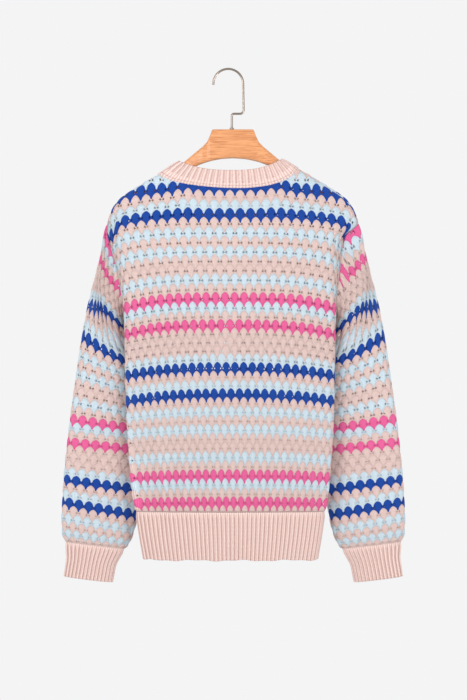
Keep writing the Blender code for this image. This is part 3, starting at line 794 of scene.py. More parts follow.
@dataclass(frozen=True)
class MattPaper:
    """Uncoated studio paper: pale, quite matt, with a faint uneven tooth about 2 mm across."""

    name: str = "floor_paper"
    colour: str = "#DEDEE0"
    shade: str = "#DADADC"
    tooth: float = 2 * MM

    def build(self) -> bpy.types.Material:
        """Makes the floor's material.

        Returns:
            The material.
        """
        material, tree, shader = new_material(self.name)
        place = add_node(tree, "ShaderNodeTexCoord").outputs["Object"]
        tooth = add_node(
            tree, "ShaderNodeTexNoise", Vector=place, Scale=1 / self.tooth, Detail=2.0
        ).outputs["Fac"]
        mix = add_node(
            tree, "ShaderNodeMix", {"data_type": "RGBA"}, i0=tooth,
            i6=linear(self.shade), i7=linear(self.colour),
        )
        tree.links.new(mix.outputs[2], shader.inputs["Base Color"])
        shader.inputs["Roughness"].default_value = 1.0
        return material


@dataclass
class Wardrobe:
    """All the finishes, made once and shared."""

    yarns: list[bpy.types.Material] = field(default_factory=list)
    rib: bpy.types.Material | None = None
    beech: bpy.types.Material | None = None
    nickel: bpy.types.Material | None = None

    def build(self) -> "Wardrobe":
        """Makes every material of the garment and its hanger.

        Returns:
            The wardrobe itself.
        """
        # Per yarn: its colour, its painted shade in stitch gaps, its painted shade at eyelets and
        # grooves.
        self.yarns = [
            KnitCotton("cotton_beige", "#F8E2DB", "#BC9085", "#6E4238").build(),
            KnitCotton("cotton_pale_blue", "#E8F6FC", "#98B6C8", "#5A5563").build(),
            KnitCotton("cotton_royal_blue", "#0E50B4", "#072A78", "#33204A", sheen=0.04).build(),
            KnitCotton("cotton_pink", "#FF74AC", "#CC3F80", "#7A2448", sheen=0.06).build(),
        ]
        self.rib = KnitCotton("cotton_rib", "#F4DDD6", "#C0988D", "#A5796C").build()
        self.beech = LacqueredBeech().build()
        self.nickel = BrushedNickel().build()
        return self


# --- Shells -------------------------------------------------------------------------


@dataclass
class Shell:
    """A sheet of cloth as a grid of points, with the stitches' UV and a finish a quad.

    uv has one column more than points where the shell closes on itself.
    """

    points: np.ndarray
    uv: np.ndarray
    wraps: bool = False
    finish: np.ndarray | None = None
    holes: np.ndarray | None = None
    first: np.ndarray | None = None  # a column's first row that isn't folded onto its edge
    # Painted shade of each point, from 0 to 1, stored as the shade attribute.
    shade: np.ndarray | None = None

    def build(self, name: str, finishes: list[bpy.types.Material]) -> bpy.types.Object:
        """Makes the mesh object.

        Args:
            name: the piece's name.
            finishes: the materials that finish counts in.

        Returns:
            The object, linked to the scene and riding on the body.
        """
        rows, columns = self.points.shape[:2]
        steps = columns if self.wraps else columns - 1
        row_ids = np.arange(rows)[:, None] + np.zeros((1, steps + 1), int)
        if self.first is not None:
            row_ids = np.maximum(row_ids, self.first[None, :])
        vertex = row_ids * columns + (np.arange(steps + 1) % columns)[None, :]
        grid = np.arange(rows * (steps + 1)).reshape(rows, steps + 1)
        corners = np.stack([grid[:-1, :-1], grid[1:, :-1], grid[1:, 1:], grid[:-1, 1:]], -1)
        corners = corners.reshape(-1, 4)
        keep_quad = np.ones(len(corners), bool)
        if self.holes is not None:
            keep_quad &= ~self.holes.reshape(-1)
        ids = vertex.reshape(-1)[corners]
        kept = ids != np.roll(ids, -1, axis=1)
        counts = kept.sum(axis=1)
        keep_quad &= counts >= 3
        kept &= keep_quad[:, None]
        loops = ids[kept]
        loop_uv = self.uv.reshape(-1, 2)[corners[kept]]
        counts = counts[keep_quad]
        used, loops = np.unique(loops, return_inverse=True)
        mesh = bpy.data.meshes.new(name)
        mesh.vertices.add(len(used))
        coordinates = (self.points.reshape(-1, 3)[used] * MM).astype(np.float32)
        mesh.vertices.foreach_set("co", coordinates.ravel())
        mesh.loops.add(len(loops))
        mesh.loops.foreach_set("vertex_index", loops.astype(np.int32).ravel())
        mesh.polygons.add(len(counts))
        starts = np.concatenate([[0], np.cumsum(counts)[:-1]]).astype(np.int32)
        mesh.polygons.foreach_set("loop_start", starts)
        layer = mesh.uv_layers.new(name="stitches")
        layer.data.foreach_set("uv", loop_uv.astype(np.float32).ravel())
        # Painted shade round eyelets, in grooves and in rib gaps.
        if self.shade is not None:
            painted_shade_layer = mesh.attributes.new("shade", "FLOAT", "POINT")
            values = np.broadcast_to(self.shade, self.points.shape[:2]).reshape(-1)[used]
            painted_shade_layer.data.foreach_set("value", values.astype(np.float32))
        for finish in finishes:
            mesh.materials.append(finish)
        if self.finish is not None:
            chosen = self.finish.reshape(-1)[keep_quad].astype(np.int32)
            mesh.polygons.foreach_set("material_index", chosen)
        mesh.update(calc_edges=True)
        mesh.validate()
        mesh.shade_smooth()
        made = bpy.data.objects.new(name, mesh)
        bpy.context.scene.collection.objects.link(made)
        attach(made, BODY)
        return made


@dataclass(frozen=True)
class Scallop:
    """One motif of the knit: a plump drop with a stem, and an eyelet on each side of it.

    Rows of drops are staggered by half a pitch. Distances across are in pitches from a
    drop's middle, and distances down in rows from its widest place.
    """

    outline_across: tuple = (
        0, 0.05, 0.08, 0.095, 0.105, 0.12, 0.14, 0.17, 0.22, 0.28, 0.31, 0.35, 0.39, 0.44, 0.50
    )
    outline_down: tuple = (
        0.92, 0.88, 0.82, 0.76, 0.68, 0.62, 0.57, 0.53, 0.47, 0.41, 0.37, 0.33, 0.31, 0.285, 0.265
    )
    columns: tuple = (0, 0.08, 0.105, 0.17, 0.30, 0.39, 0.5)
    levels: tuple = (0, 0.11, 0.22, 0.34, 0.455, 0.58, 0.705, 0.85, 1)
    eyelet_middle: float = 0.36
    eyelet_half: tuple = (0.035, 0.075, 0.040)
    eyelet_level: int = 4  # first of the levels that an eyelet spans
    eyelet_column: int = 4  # column on an eyelet's inner side
    eyelet_place: float = 0.58
    swell: float = 1.3  # mm that a drop stands out
    stem: float = 1.1
    funnel: float = 1.4  # mm that the cloth sinks round an eyelet
    groove: float = 0.3
    rim_width: float = 0.09
    stitches_across: float = 6.0
    stitches_down: float = 7.0

    def lattice(
        self, rows: range, halves: int, start: float, openness: np.ndarray, ends: tuple
    ) -> dict[str, np.ndarray]:
        """Lays out the grid that follows the drops' outlines.

        Args:
            rows: the knitted rows.
            halves: how many half pitches the grid is wide.
            start: place of its first column, in pitches; even rows have drops at whole ones.
            openness: how open each row's eyelets are, from 0 to 1.
            ends: the rows where the cloth starts and ends, which are straight.

        Returns:
            Arrays by name: x and v are each point's place in pitches and rows, across its
            distance from its drop's middle, level how far it is through its own row, row the
            knitted row of each band of quads, and holes the quads that eyelets leave out.
        """
        base, levels = np.array(self.columns), np.array(self.levels)
        count, bands, inner = len(base) - 1, len(levels) - 1, self.eyelet_column
        x = np.zeros((len(rows) * bands + 1, halves * count + 1))
        v, across, level = x.copy(), x.copy(), x.copy()
        holes = np.zeros((len(rows) * bands, halves * count), bool)
        for index, row in enumerate(rows):
            for band, w in enumerate(levels):
                if band == bands and index < len(rows) - 1:
                    continue
                near = (1 - w) * (0.5 - base[::-1]) + w * base
                step = band - self.eyelet_level
                if 0 <= step <= 2:
                    half = self.eyelet_half[step] * (0.25 + 0.75 * openness[index])
                    near[inner] = self.eyelet_middle - half
                    near[inner + 1] = self.eyelet_middle + half
                line = index * bands + band
                for cell in range(halves):
                    left = start + cell / 2
                    on_drop = (round(2 * left) + row) % 2 == 0
                    part = slice(cell * count, cell * count + count + 1)
                    x[line, part] = left + (near if on_drop else 0.5 - near[::-1])
                    across[line, part] = near if on_drop else near[::-1]
                    if 0 <= step <= 1 and openness[index] > 0:
                        hole = inner if on_drop else count - 1 - inner
                        holes[line, cell * count + hole] = True
                level[line] = w
                outline = (self.outline_across, self.outline_down)
                top = row - 1 + np.interp(0.5 - across[line], *outline)
                low = row + np.interp(across[line], *outline)
                if index == 0:
                    top = np.full_like(top, ends[0])
                if index == len(rows) - 1:
                    low = np.full_like(low, ends[1])
                v[line] = top + w * (low - top)
        row_of = np.repeat(np.array(list(rows)), bands)
        return {"x": x, "v": v, "across": across, "level": level, "row": row_of, "holes": holes}

    def line_openness(self, openness: np.ndarray) -> np.ndarray:
        """How open the eyelets are on each line of the grid, as a column."""
        return np.append(np.repeat(openness, len(self.levels) - 1), openness[-1])[:, None]

    def stitches(self, x: np.ndarray, v: np.ndarray) -> np.ndarray:
        """The stitches' UV at places in pitches and rows."""
        return np.stack([x * self.stitches_across, -v * self.stitches_down], axis=-1)

    def rim(self, level: np.ndarray) -> np.ndarray:
        """How near the upper or lower edge of its row a point lies, up to 1."""
        low = np.exp(-(((1 - level) / self.rim_width) ** 2))
        return np.exp(-((level / self.rim_width) ** 2)) + low

    def shadow(self, across: np.ndarray, level: np.ndarray, openness: np.ndarray) -> np.ndarray:
        """How deep in painted shade a point lies: round the eyelets and in the grooves.

        Args:
            across: distance from the drop's middle, in pitches.
            level: how far through its row a point is, from 0 to 1.
            openness: how open the eyelets are there.

        Returns:
            The shade of each point, from 0 to 1.
        """
        arch = self.eyelet_place - (across - self.eyelet_middle)
        hole = ((across - self.eyelet_middle - 0.02) / 0.085) ** 2 + (
            (level - arch) / (0.075 + 0.045 * openness)
        ) ** 2
        return np.clip((0.75 + 0.25 * openness) * np.exp(-hole) + 0.16 * self.rim(level), 0, 1)

    def relief(self, across: np.ndarray, level: np.ndarray, openness: np.ndarray) -> np.ndarray:
        """How far the cloth stands out of its form, in mm.

        Args:
            across: distance from the drop's middle, in pitches.
            level: how far through its row a point is, from 0 to 1.
            openness: how open the eyelets are there.

        Returns:
            The height of each point.
        """
        dome = np.cos(math.pi / 2 * np.clip(across / 0.47, 0, 1)) ** 0.5
        crown = np.sin(math.pi * np.clip(level, 0, 1)) ** 0.5
        drop = self.swell * dome * crown
        tail = ease((level - 0.70) / 0.12) * (1 - ease((level - 0.94) / 0.06))
        stem = self.stem * np.exp(-((across / 0.08) ** 2)) * tail
        hole = ((across - self.eyelet_middle) / 0.085) ** 2
        hole = hole + ((level - self.eyelet_place) / 0.16) ** 2
        sunk = self.funnel * (0.35 + 0.65 * openness) * np.exp(-hole)
        return np.maximum(drop, stem) - (sunk + self.groove * self.rim(level))


def striped(rows: np.ndarray, columns: int) -> np.ndarray:
    """The yarn of each quad of a grid.

    Args:
        rows: each band of quads' place in the chart of stripes.
        columns: how many quads a band has.

    Returns:
        The finish of each quad, by its number.
    """
    yarns = np.array([STRIPES[row % len(STRIPES)].value for row in rows])
    return np.repeat(yarns[:, None], columns, axis=1)


@dataclass(frozen=True)
class Torso:
    """The form in which the body hangs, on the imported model's own formulas."""

    front_turn: float = 65.0
    wrap_start: float = 0.8
    section_power: float = 2.6
    shoulder_reach: float = 208.0
    shoulder_round: float = 12.0
    shoulder_fall: float = 220.0
    forward_curve: float = 25.0
    forward_reach: float = 190.0
    crest_fade: float = 24.0  # mm below the crest where heights run true again
    left_neck: float = -125.0
    right_neck: float = 108.6
    front_neck_z: float = -250.0
    front_neck_power: float = 2.6
    roll_left: float = 5.0  # mm by which the shoulder's edge rolls to the other face
    roll_right: float = 5.5
    roll_ease: float = 14.0
    tip_start: float = 190.0  # distance from the middle where the roll ends
    tip_width: float = 16.0
    fold_start: float = 90.0  # mm over which a soft fold deepens
    fold_end: float = 40.0

    @staticmethod
    def level(column: str, z: np.ndarray) -> np.ndarray:
        """A column of the body's table at the heights z."""
        return smooth(LEVELS, "z", column, z)

    @staticmethod
    def crest(reach: np.ndarray) -> np.ndarray:
        """Height of the shoulder line at a distance from the middle."""
        return smooth(SHOULDER_LINE, "reach", "z", np.abs(reach))

    def forward(self, reach: np.ndarray) -> np.ndarray:
        """How far the hanger's curve carries the cloth towards the front."""
        return self.forward_curve * (reach / self.forward_reach) ** 2

    def folds(self, face: int, across: np.ndarray, z: np.ndarray) -> np.ndarray:
        """Depth of the soft folds at a place on one face.

        Args:
            face: -1 for the back and 1 for the front.
            across: from -1 at a panel's left edge to 1 at its right one.
            z: the height of each point.

        Returns:
            How far the cloth sinks there, in mm.
        """
        depth = np.zeros(np.broadcast(across, z).shape)
        for fold in CREASES:
            if fold.face != face:
                continue
            share = np.clip((fold.top - z) / (fold.top - fold.bottom), 0, 1)
            middle = fold.across_top + (fold.across_bottom - fold.across_top) * share
            along = ease((fold.top - z) / self.fold_start)
            along = along * ease((z - fold.bottom) / self.fold_end + 1)
            depth = depth + fold.depth * along * np.exp(-(((across - middle) / fold.width) ** 2))
        return depth

    def point(
        self, face: int, across: np.ndarray, z: np.ndarray, over: np.ndarray | float = 1.0
    ) -> np.ndarray:
        """Points of the body's surface.

        Args:
            face: -1 for the back and 1 for the front.
            across: from -1 at a panel's left edge to 1 at its right one.
            z: the height of each point.
            over: -1 where the cloth has rolled over the shoulder line to the other face.

        Returns:
            The points in mm.
        """
        half_width = self.level("half_width", z)
        table_turn = self.level("turn", z)
        turn = np.radians(table_turn if face < 0 else self.front_turn + 0 * z)
        share = np.abs(across)
        widest = power_of(np.sin(np.minimum(turn, math.pi / 2)), 2 / self.section_power)
        wrap = np.maximum(turn - math.pi / 2, 0)
        wrap = wrap * ease((share - self.wrap_start) / (1 - self.wrap_start))
        angle = np.arcsin(np.clip((share * widest) ** (self.section_power / 2), 0, 1)) + wrap
        flat = power_of(np.sin(np.radians(np.minimum(table_turn, 90))), 2 / self.section_power)
        x = np.sign(across) * half_width * power_of(np.sin(angle), 2 / self.section_power) / flat
        below = np.clip(self.crest(x) - z, 0, None)
        rounding = np.sqrt(1 - (1 - np.clip(below / self.shoulder_round, 0, 1)) ** 2)
        spread = (self.level("half_depth", z) - self.shoulder_round) * ease(
            below / self.shoulder_fall
        )
        side = power_of(np.cos(angle), 2 / self.section_power)
        half_depth = rounding * (self.shoulder_round + spread) * side
        half_depth = half_depth - self.folds(face, across, z) * side
        y = self.forward(x) * self.level("swing", z) + face * over * half_depth
        return np.stack([x + self.level("centre_x", z), y, z + 0 * x], axis=-1)

    def neck_depth(self, face: int, reach: np.ndarray) -> np.ndarray:
        """How far the neck seam lies below the shoulder line.

        Args:
            face: -1 for the back and 1 for the front.
            reach: distance from the middle, less than 0 on the left.

        Returns:
            The depth in mm, 0 past the seam's ends.
        """
        end = np.where(reach < 0, -self.left_neck, self.right_neck)
        if face < 0:
            seam = smooth(NECK_MARKS, "reach", "z", reach)
        else:
            share = np.clip(np.abs(reach) / end, 0, 1)
            rise = self.crest(end) - self.front_neck_z
            seam = self.front_neck_z + rise * share**self.front_neck_power
        return np.where(np.abs(reach) < end, np.maximum(self.crest(reach) - seam, 0), 0.0)

    def roll(self, face: int, reach: np.ndarray) -> np.ndarray:
        """How far a panel's shoulder edge has rolled off the shoulder line.

        Args:
            face: -1 for the back and 1 for the front.
            reach: distance from the middle, less than 0 on the left.

        Returns:
            The distance in mm below the line, less than 0 where it has rolled over it.
        """
        past_left = ease((-reach + self.left_neck) / self.roll_ease)
        past_right = ease((reach - self.right_neck) / self.roll_ease)
        tip = 1 - ease((np.abs(reach) - self.tip_start) / self.tip_width)
        back = self.roll_right * past_right * tip - self.roll_left * past_left * tip
        return back if face < 0 else -back

    def edge_depth(self, face: int, across: np.ndarray) -> np.ndarray:
        """How far a panel's top edge lies below the shoulder line."""
        reach = across * self.shoulder_reach
        return self.neck_depth(face, reach) + self.roll(face, reach)

    def hung(self, face: int, across: np.ndarray, depth: np.ndarray) -> np.ndarray:
        """Points at a depth below the shoulder line, rounded smoothly over it.

        Args:
            face: -1 for the back and 1 for the front.
            across: from -1 at a panel's left edge to 1 at its right one.
            depth: mm below the shoulder line, less than 0 beyond it.

        Returns:
            The points in mm.
        """
        share = np.clip(np.abs(depth) / self.crest_fade, 0, 1)
        fall = np.where(
            np.abs(depth) < self.crest_fade,
            self.crest_fade * (2 * share**2 - share**3),
            np.abs(depth),
        )
        z = self.crest(across * self.shoulder_reach) - fall
        return self.point(face, across, z, np.where(depth < 0, -1.0, 1.0))


TORSO = Torso()


@dataclass
class BodyPanel:
    """The back or the front of the body in scalloped knit."""

    face: Face
    name: str
    scallop: Scallop = field(default_factory=Scallop)
    pitches: int = 27
    first_row: int = -5
    last_row: int = 37
    end_row: float = 36.95
    open_until: float = 21.5
    slit: float = 0.35
    base_offset: float = 0.5
    seam_fade: float = 6.0
    section_points: int = 961
    table_z: np.ndarray = field(default_factory=lambda: np.linspace(-100, -810, 143))
    table: np.ndarray | None = None
    table_columns: int = 541
    narrowest: float = 0.86  # least and most width of the front's middle scallops, by the
    widest: float = 1.16  # counted one
    least_edge: float = 0.6  # pitches left over for the turn of the edge
    probe: float = 0.1
    marks_below: float = 0.075  # the row marks are of the eyelets, below a drop's middle
    neck_side: float = 75.0  # distance from the middle where rows rise most beside the neck
    neck_side_width: float = 34.0
    fall_rows: tuple = (13, 21)  # rows between which the fall's power changes
    fall_powers: tuple = (3.5, 2.5)
    tuck_start: float = 0.86
    tuck_width: float = 0.14
    hem_row: float = 35.9  # from here down heights are those of the hem's own form
    hung_above: float = -300.0  # above this the cloth hangs from the shoulder line
    hung_blend: float = 20.0
    slope_step: float = 0.02  # in pitches or rows, to measure the form's slopes
    row_height: float = 15.0
    least_pitch: float = 8.0
    hole_room: float = 3.0  # mm from an edge within which there are no eyelets
    neck_low: float = -236.0
    neck_half: float = 80.0

    def prepare(self) -> None:
        """Works out where the columns of scallops lie across the body, by height."""
        across = np.linspace(-1, 1, self.section_points)
        rows = []
        for z in self.table_z:
            section = TORSO.point(self.face.value, across, np.full_like(across, z))
            steps = np.linalg.norm(np.diff(section, axis=0), axis=1)
            travelled = np.concatenate([[0], np.cumsum(steps)])
            pitch = float(smooth(PITCH_MARKS, "z", "pitch", z)) * PIXEL
            if self.face is Face.BACK:
                place = self.seen_columns(float(z), section, travelled, pitch)
            else:
                place = self.even_columns(travelled, pitch)
            rows.append(np.interp(place, travelled, across))
        self.table = np.array(rows)

    def even_columns(self, travelled: np.ndarray, pitch: float) -> np.ndarray:
        """Columns at even steps along the cloth, which close or widen towards the sides.

        Args:
            travelled: distance along the body's section.
            pitch: width of one scallop in the middle, in mm.

        Returns:
            Each column's distance along the section.
        """
        sigma = np.linspace(-1, 1, self.table_columns)
        centre = np.clip(pitch * self.pitches / travelled[-1], self.narrowest, self.widest)
        share = power_of(sigma, 6) if centre > 1 else sigma**3
        share = centre * sigma + (1 - centre) * share
        return (share + 1) / 2 * travelled[-1]

    def seen_columns(
        self, z: float, section: np.ndarray, travelled: np.ndarray, pitch: float
    ) -> np.ndarray:
        """Columns where the photograph shows them, and close together round the very edge.

        Args:
            z: the height.
            section: the body's section there.
            travelled: distance along it.
            pitch: width of one scallop in the middle, in mm.

        Returns:
            Each column's distance along the section.
        """
        seen = CAMERA_X + (section[:, 0] - CAMERA_X) / (1 + section[:, 1] / CAMERA_REACH)
        faces = slice(int(seen.argmin()), int(seen.argmax()) + 1)
        middle = photo_x(smooth(SPREAD_MARKS, "z", "centre", z))
        sigma = np.linspace(-1, 1, self.table_columns)
        half = self.pitches / 2
        # Share of the seen half width in which the spacing holds; an estimate.
        flat = np.interp(-z, (270, 378), (0.85, 0.965))
        lines = []
        for side, name in ((-1, "left"), (1, "right")):
            closing = float(smooth(SPREAD_MARKS, "z", name, z)) / 12
            out = abs(seen[faces][0 if side < 0 else -1] - middle) * flat / pitch
            even = (1 - math.sqrt(1 - 4 * closing * out)) / (2 * closing) if closing else out
            even = min(even, half - self.least_edge)
            columns = np.abs(sigma[sigma * side > 0] if side < 0 else sigma[sigma >= 0]) * half
            asked = np.append(np.minimum(columns, even), [even - self.probe, even])
            asked = middle + side * pitch * asked * (1 - closing * asked)
            found = np.interp(asked, seen[faces], travelled[faces])
            place, before, start = found[:-2], found[-2], found[-1]
            rest = (travelled[-1] if side > 0 else 0.0) - start
            keen = abs(start - before) / self.probe * (half - even) / abs(rest)
            bend = min(6.0, (keen - 0.1) / (keen - 1)) if keen > 1.02 else 3.0
            part = np.clip((columns - even) / (half - even), 0, 1)
            lines.append(place + rest * (keen * part + (1 - keen) * part**bend))
        return np.concatenate(lines)

    def across_at(self, x: np.ndarray, z: np.ndarray) -> np.ndarray:
        """Where a place in pitches lies across the body at a height.

        Args:
            x: place across the panel, in pitches from its middle.
            z: the height.

        Returns:
            The place from -1 to 1.
        """
        row = (self.table_z[0] - z) / (self.table_z[0] - self.table_z[1])
        column = (x / self.pitches * 2 + 1) / 2 * (self.table.shape[1] - 1)
        return between(self.table, row, column)

    def height_at(self, x: np.ndarray, v: np.ndarray) -> np.ndarray:
        """Height of a place on a knitted row, before the shoulder line is heeded.

        Args:
            x: place across the panel, in pitches from its middle.
            v: place down it, in rows.

        Returns:
            The height in mm.
        """
        rows = [mark.row for mark in ROW_MARKS]
        v = v - self.marks_below
        middle, drop, tuck, rise = (
            np.interp(v, rows, [getattr(mark, name) for mark in ROW_MARKS])
            for name in ("pixel_y", "drop", "tuck", "rise")
        )
        z = -(middle - PHOTO_ORIGIN) * PIXEL
        across = self.across_at(x, np.clip(z, -810, -150))
        seen = TORSO.point(Face.BACK.value, across, z)
        centre = photo_x(smooth(SPREAD_MARKS, "z", "centre", z))
        out = seen[..., 0] - centre
        reach = TORSO.level("half_width", z) + np.sign(out) * (TORSO.level("centre_x", z) - centre)
        share = np.clip(np.abs(out) / reach, 0, 1)
        beside = np.abs(share * TORSO.shoulder_reach - self.neck_side) / self.neck_side_width
        power = np.interp(v, self.fall_rows, self.fall_powers)
        tucked = ease((share - self.tuck_start) / self.tuck_width) ** 1.5
        fall = drop * share**power + tuck * tucked - rise * (1 - ease(beside))
        near = seen[..., 1] * (1 - ease(v - self.hem_row))
        return drawn_at(z - fall * PIXEL, near)

    def place(self, x: np.ndarray, v: np.ndarray) -> tuple[np.ndarray, np.ndarray]:
        """Places the grid on the smooth form.

        Args:
            x: place across the panel, in pitches from its middle.
            v: place down it, in rows.

        Returns:
            The points in mm, and how far each lies inside the panel's top edge.
        """
        z = self.height_at(x, v)
        across = self.across_at(x, z)
        depth = TORSO.crest(across * TORSO.shoulder_reach) - z
        edge = TORSO.edge_depth(self.face.value, across)
        inside = depth - edge
        depth = np.maximum(depth, edge)
        hung = TORSO.hung(self.face.value, across, depth)
        plain = TORSO.point(self.face.value, across, z)
        mix = ease((z - self.hung_above) / self.hung_blend)[..., None]
        return plain * (1 - mix) + hung * mix, inside

    def build(self, wardrobe: Wardrobe) -> bpy.types.Object:
        """Makes the panel.

        Args:
            wardrobe: the finishes.

        Returns:
            The panel's object.
        """
        self.prepare()
        rows = range(self.first_row, self.last_row + 1)
        openness = np.array([1.0 if row < self.open_until else self.slit for row in rows])
        half, ends = self.pitches / 2, (self.first_row - 0.7, self.end_row)
        grid = self.scallop.lattice(rows, 2 * self.pitches, -half, openness, ends)
        x, v, small = grid["x"], grid["v"], self.slope_step
        base, inside = self.place(x, v)
        toward = self.place(np.clip(x + small, -half, half), v)[0]
        toward = toward - self.place(np.clip(x - small, -half, half), v)[0]
        above = np.maximum(v - small, self.first_row - 1)
        down = self.place(x, v + small)[0] - self.place(x, above)[0]
        normal = facing(unit(np.cross(toward, down)), np.array([0.0, self.face.value, 0.0]))
        pitch = np.linalg.norm(toward, axis=-1) / (2 * small)
        to_side = (half - np.abs(x)) * np.maximum(pitch, self.least_pitch)
        to_hem = (self.end_row - v) * self.row_height
        room = np.minimum(np.minimum(to_side, to_hem), inside)
        fade = ease(room / self.seam_fade)
        shown = (grid["across"], grid["level"], self.scallop.line_openness(openness))
        height = (self.scallop.relief(*shown) + self.base_offset) * fade
        first = np.clip(np.argmax(inside > 0, axis=0) - 1, 0, None)
        corner_room = np.minimum(
            np.minimum(room[:-1, :-1], room[1:, :-1]), np.minimum(room[:-1, 1:], room[1:, 1:])
        )
        holes = grid["holes"] & (corner_room > self.hole_room)
        # Here the eyelets get no hole and show only their painted shade.
        if self.face is Face.BACK:  # the front neck is open behind these, so light would show
            centre = TORSO.level("centre_x", np.array(self.neck_low))
            behind = (base[..., 2] > self.neck_low) & (
                np.abs(base[..., 0] - centre) < self.neck_half
            )
            holes &= ~behind[:-1, :-1]
        shell = Shell(
            points=base + normal * height[..., None],
            uv=self.scallop.stitches(x, v),
            finish=striped(grid["row"] - 1, x.shape[1] - 1),
            holes=holes,
            first=first,
            # Painted shade round the eyelets and in the grooves.
            shade=self.scallop.shadow(*shown),
        )
        made = shell.build(self.name, wardrobe.yarns)
        return made


def rib_profile(place: np.ndarray) -> np.ndarray:
    """Rise of a 1 by 1 rib, from 0 in the gap to 1 on the ridge; place counts ribs."""
    return 1 - np.abs(2 * (place - np.floor(place)) - 1) ** 2.0


class Turn(NamedTuple):
    """One line of a band's turned edge.

    back_in is its distance behind the band and onward its distance past the band's end, less
    than 0 where it comes back inside, both in mm. level is its share of the band's height.
    """

    back_in: float
    onward: float
    level: float


@dataclass
class RibCloth:
    """A ribbed band as lines of points from its seam to its free edge, which is turned in.

    middle is the band's plain form, rib the ribs' rise over it, place counts ribs along it,
    onward points past its free edge, and stitches is how many it is tall. shade is painted shade
    from 0 to 1, darkest in the rib gaps.
    """

    middle: np.ndarray
    normal: np.ndarray
    points: np.ndarray
    rib: np.ndarray
    shade: np.ndarray
    place: np.ndarray
    levels: np.ndarray
    onward: np.ndarray
    turns: tuple[Turn, ...]
    stitches: float
    wraps: bool = True
    follow: float = 0.35  # how much of the ribs' rise the turned edge keeps

    def build(self, name: str, wardrobe: Wardrobe) -> bpy.types.Object:
        """Adds the turned edge and makes the band.

        Args:
            name: the piece's name.
            wardrobe: the finishes.

        Returns:
            The band's object.
        """
        kept = self.follow * self.rib[-1][:, None]
        turned = []
        for turn in self.turns:
            edge = self.middle[-1] - self.normal[-1] * (turn.back_in - kept)
            turned.append(edge + self.onward * turn.onward)
        points = np.concatenate([self.points, np.stack(turned)])
        far = np.concatenate([self.levels, [turn.level for turn in self.turns]])
        uv = np.broadcast_arrays(self.place[None, :] * 1.0, far[:, None] * self.stitches)
        shade = np.concatenate([self.shade, np.repeat(self.shade[-1:], len(turned), axis=0)])
        shell = Shell(points, np.stack(uv, axis=-1), wraps=self.wraps, shade=shade)
        made = shell.build(name, [wardrobe.rib])
        return made


@dataclass
class HemBand:
    """Half of the ribbed hem, below the back or the front panel."""

    face: Face
    name: str
    ribs: int = 50
    steps: int = 8
    top: float = -728.5
    bottom: float = -807.0
    height: float = 2.2
    # Strength of the painted shade in the rib gaps.
    painted_gap_shade: float = 0.6
    levels: tuple = (
        0, 0.03, 0.07, 0.12, 0.2, 0.3, 0.4, 0.5, 0.6, 0.7, 0.8, 0.88, 0.95, 0.985, 1
    )
    turns: tuple = (
        Turn(1.0, 0.8, 1.01), Turn(2.4, 0.6, 1.02), Turn(3.2, -1.5, 1.04), Turn(3.3, -9.0, 1.12)
    )

    def build(self, wardrobe: Wardrobe) -> bpy.types.Object:
        """Makes the band, with its free edge turned in and a slight sway in its height.

        Args:
            wardrobe: the finishes.

        Returns:
            The band's object.
        """
        face, levels = self.face.value, np.array(self.levels)
        place = np.linspace(0, self.ribs, self.ribs * self.steps + 1)
        across = np.sin(np.linspace(-math.pi / 2, math.pi / 2, 801))
        lines = []
        for share in levels:
            z = self.top + (self.bottom - self.top) * share
            lines.append(read_along(TORSO.point(face, across, z + 0 * across), place / self.ribs))
        middle = np.stack(lines)
        sway = 0.9 * np.sin(place * 0.55 + face) + 0.6 * np.sin(place * 1.31 + 2)
        middle[..., 2] += sway[None, :] * (levels**2)[:, None]
        normal = unit(np.cross(np.gradient(middle, axis=1), np.gradient(middle, axis=0)))
        normal = facing(normal, np.array([0.0, face, 0.0]))
        ends = ease(np.minimum(place, self.ribs - place) / 1.0)
        rise = ease(levels / 0.12)[:, None]
        rib = self.height * rib_profile(place)[None, :] * rise
        cloth = RibCloth(
            middle=middle,
            normal=normal,
            points=middle + normal * (rib * ends[None, :])[..., None],
            rib=rib,
            # Painted shade in the rib gaps.
            shade=rise * (1 - rib_profile(place))[None, :] * self.painted_gap_shade,
            place=place,
            levels=levels,
            onward=np.array([0.0, 0.0, -1.0]),
            turns=self.turns,
            stitches=-36,
            wraps=False,
        )
        return cloth.build(self.name, wardrobe)


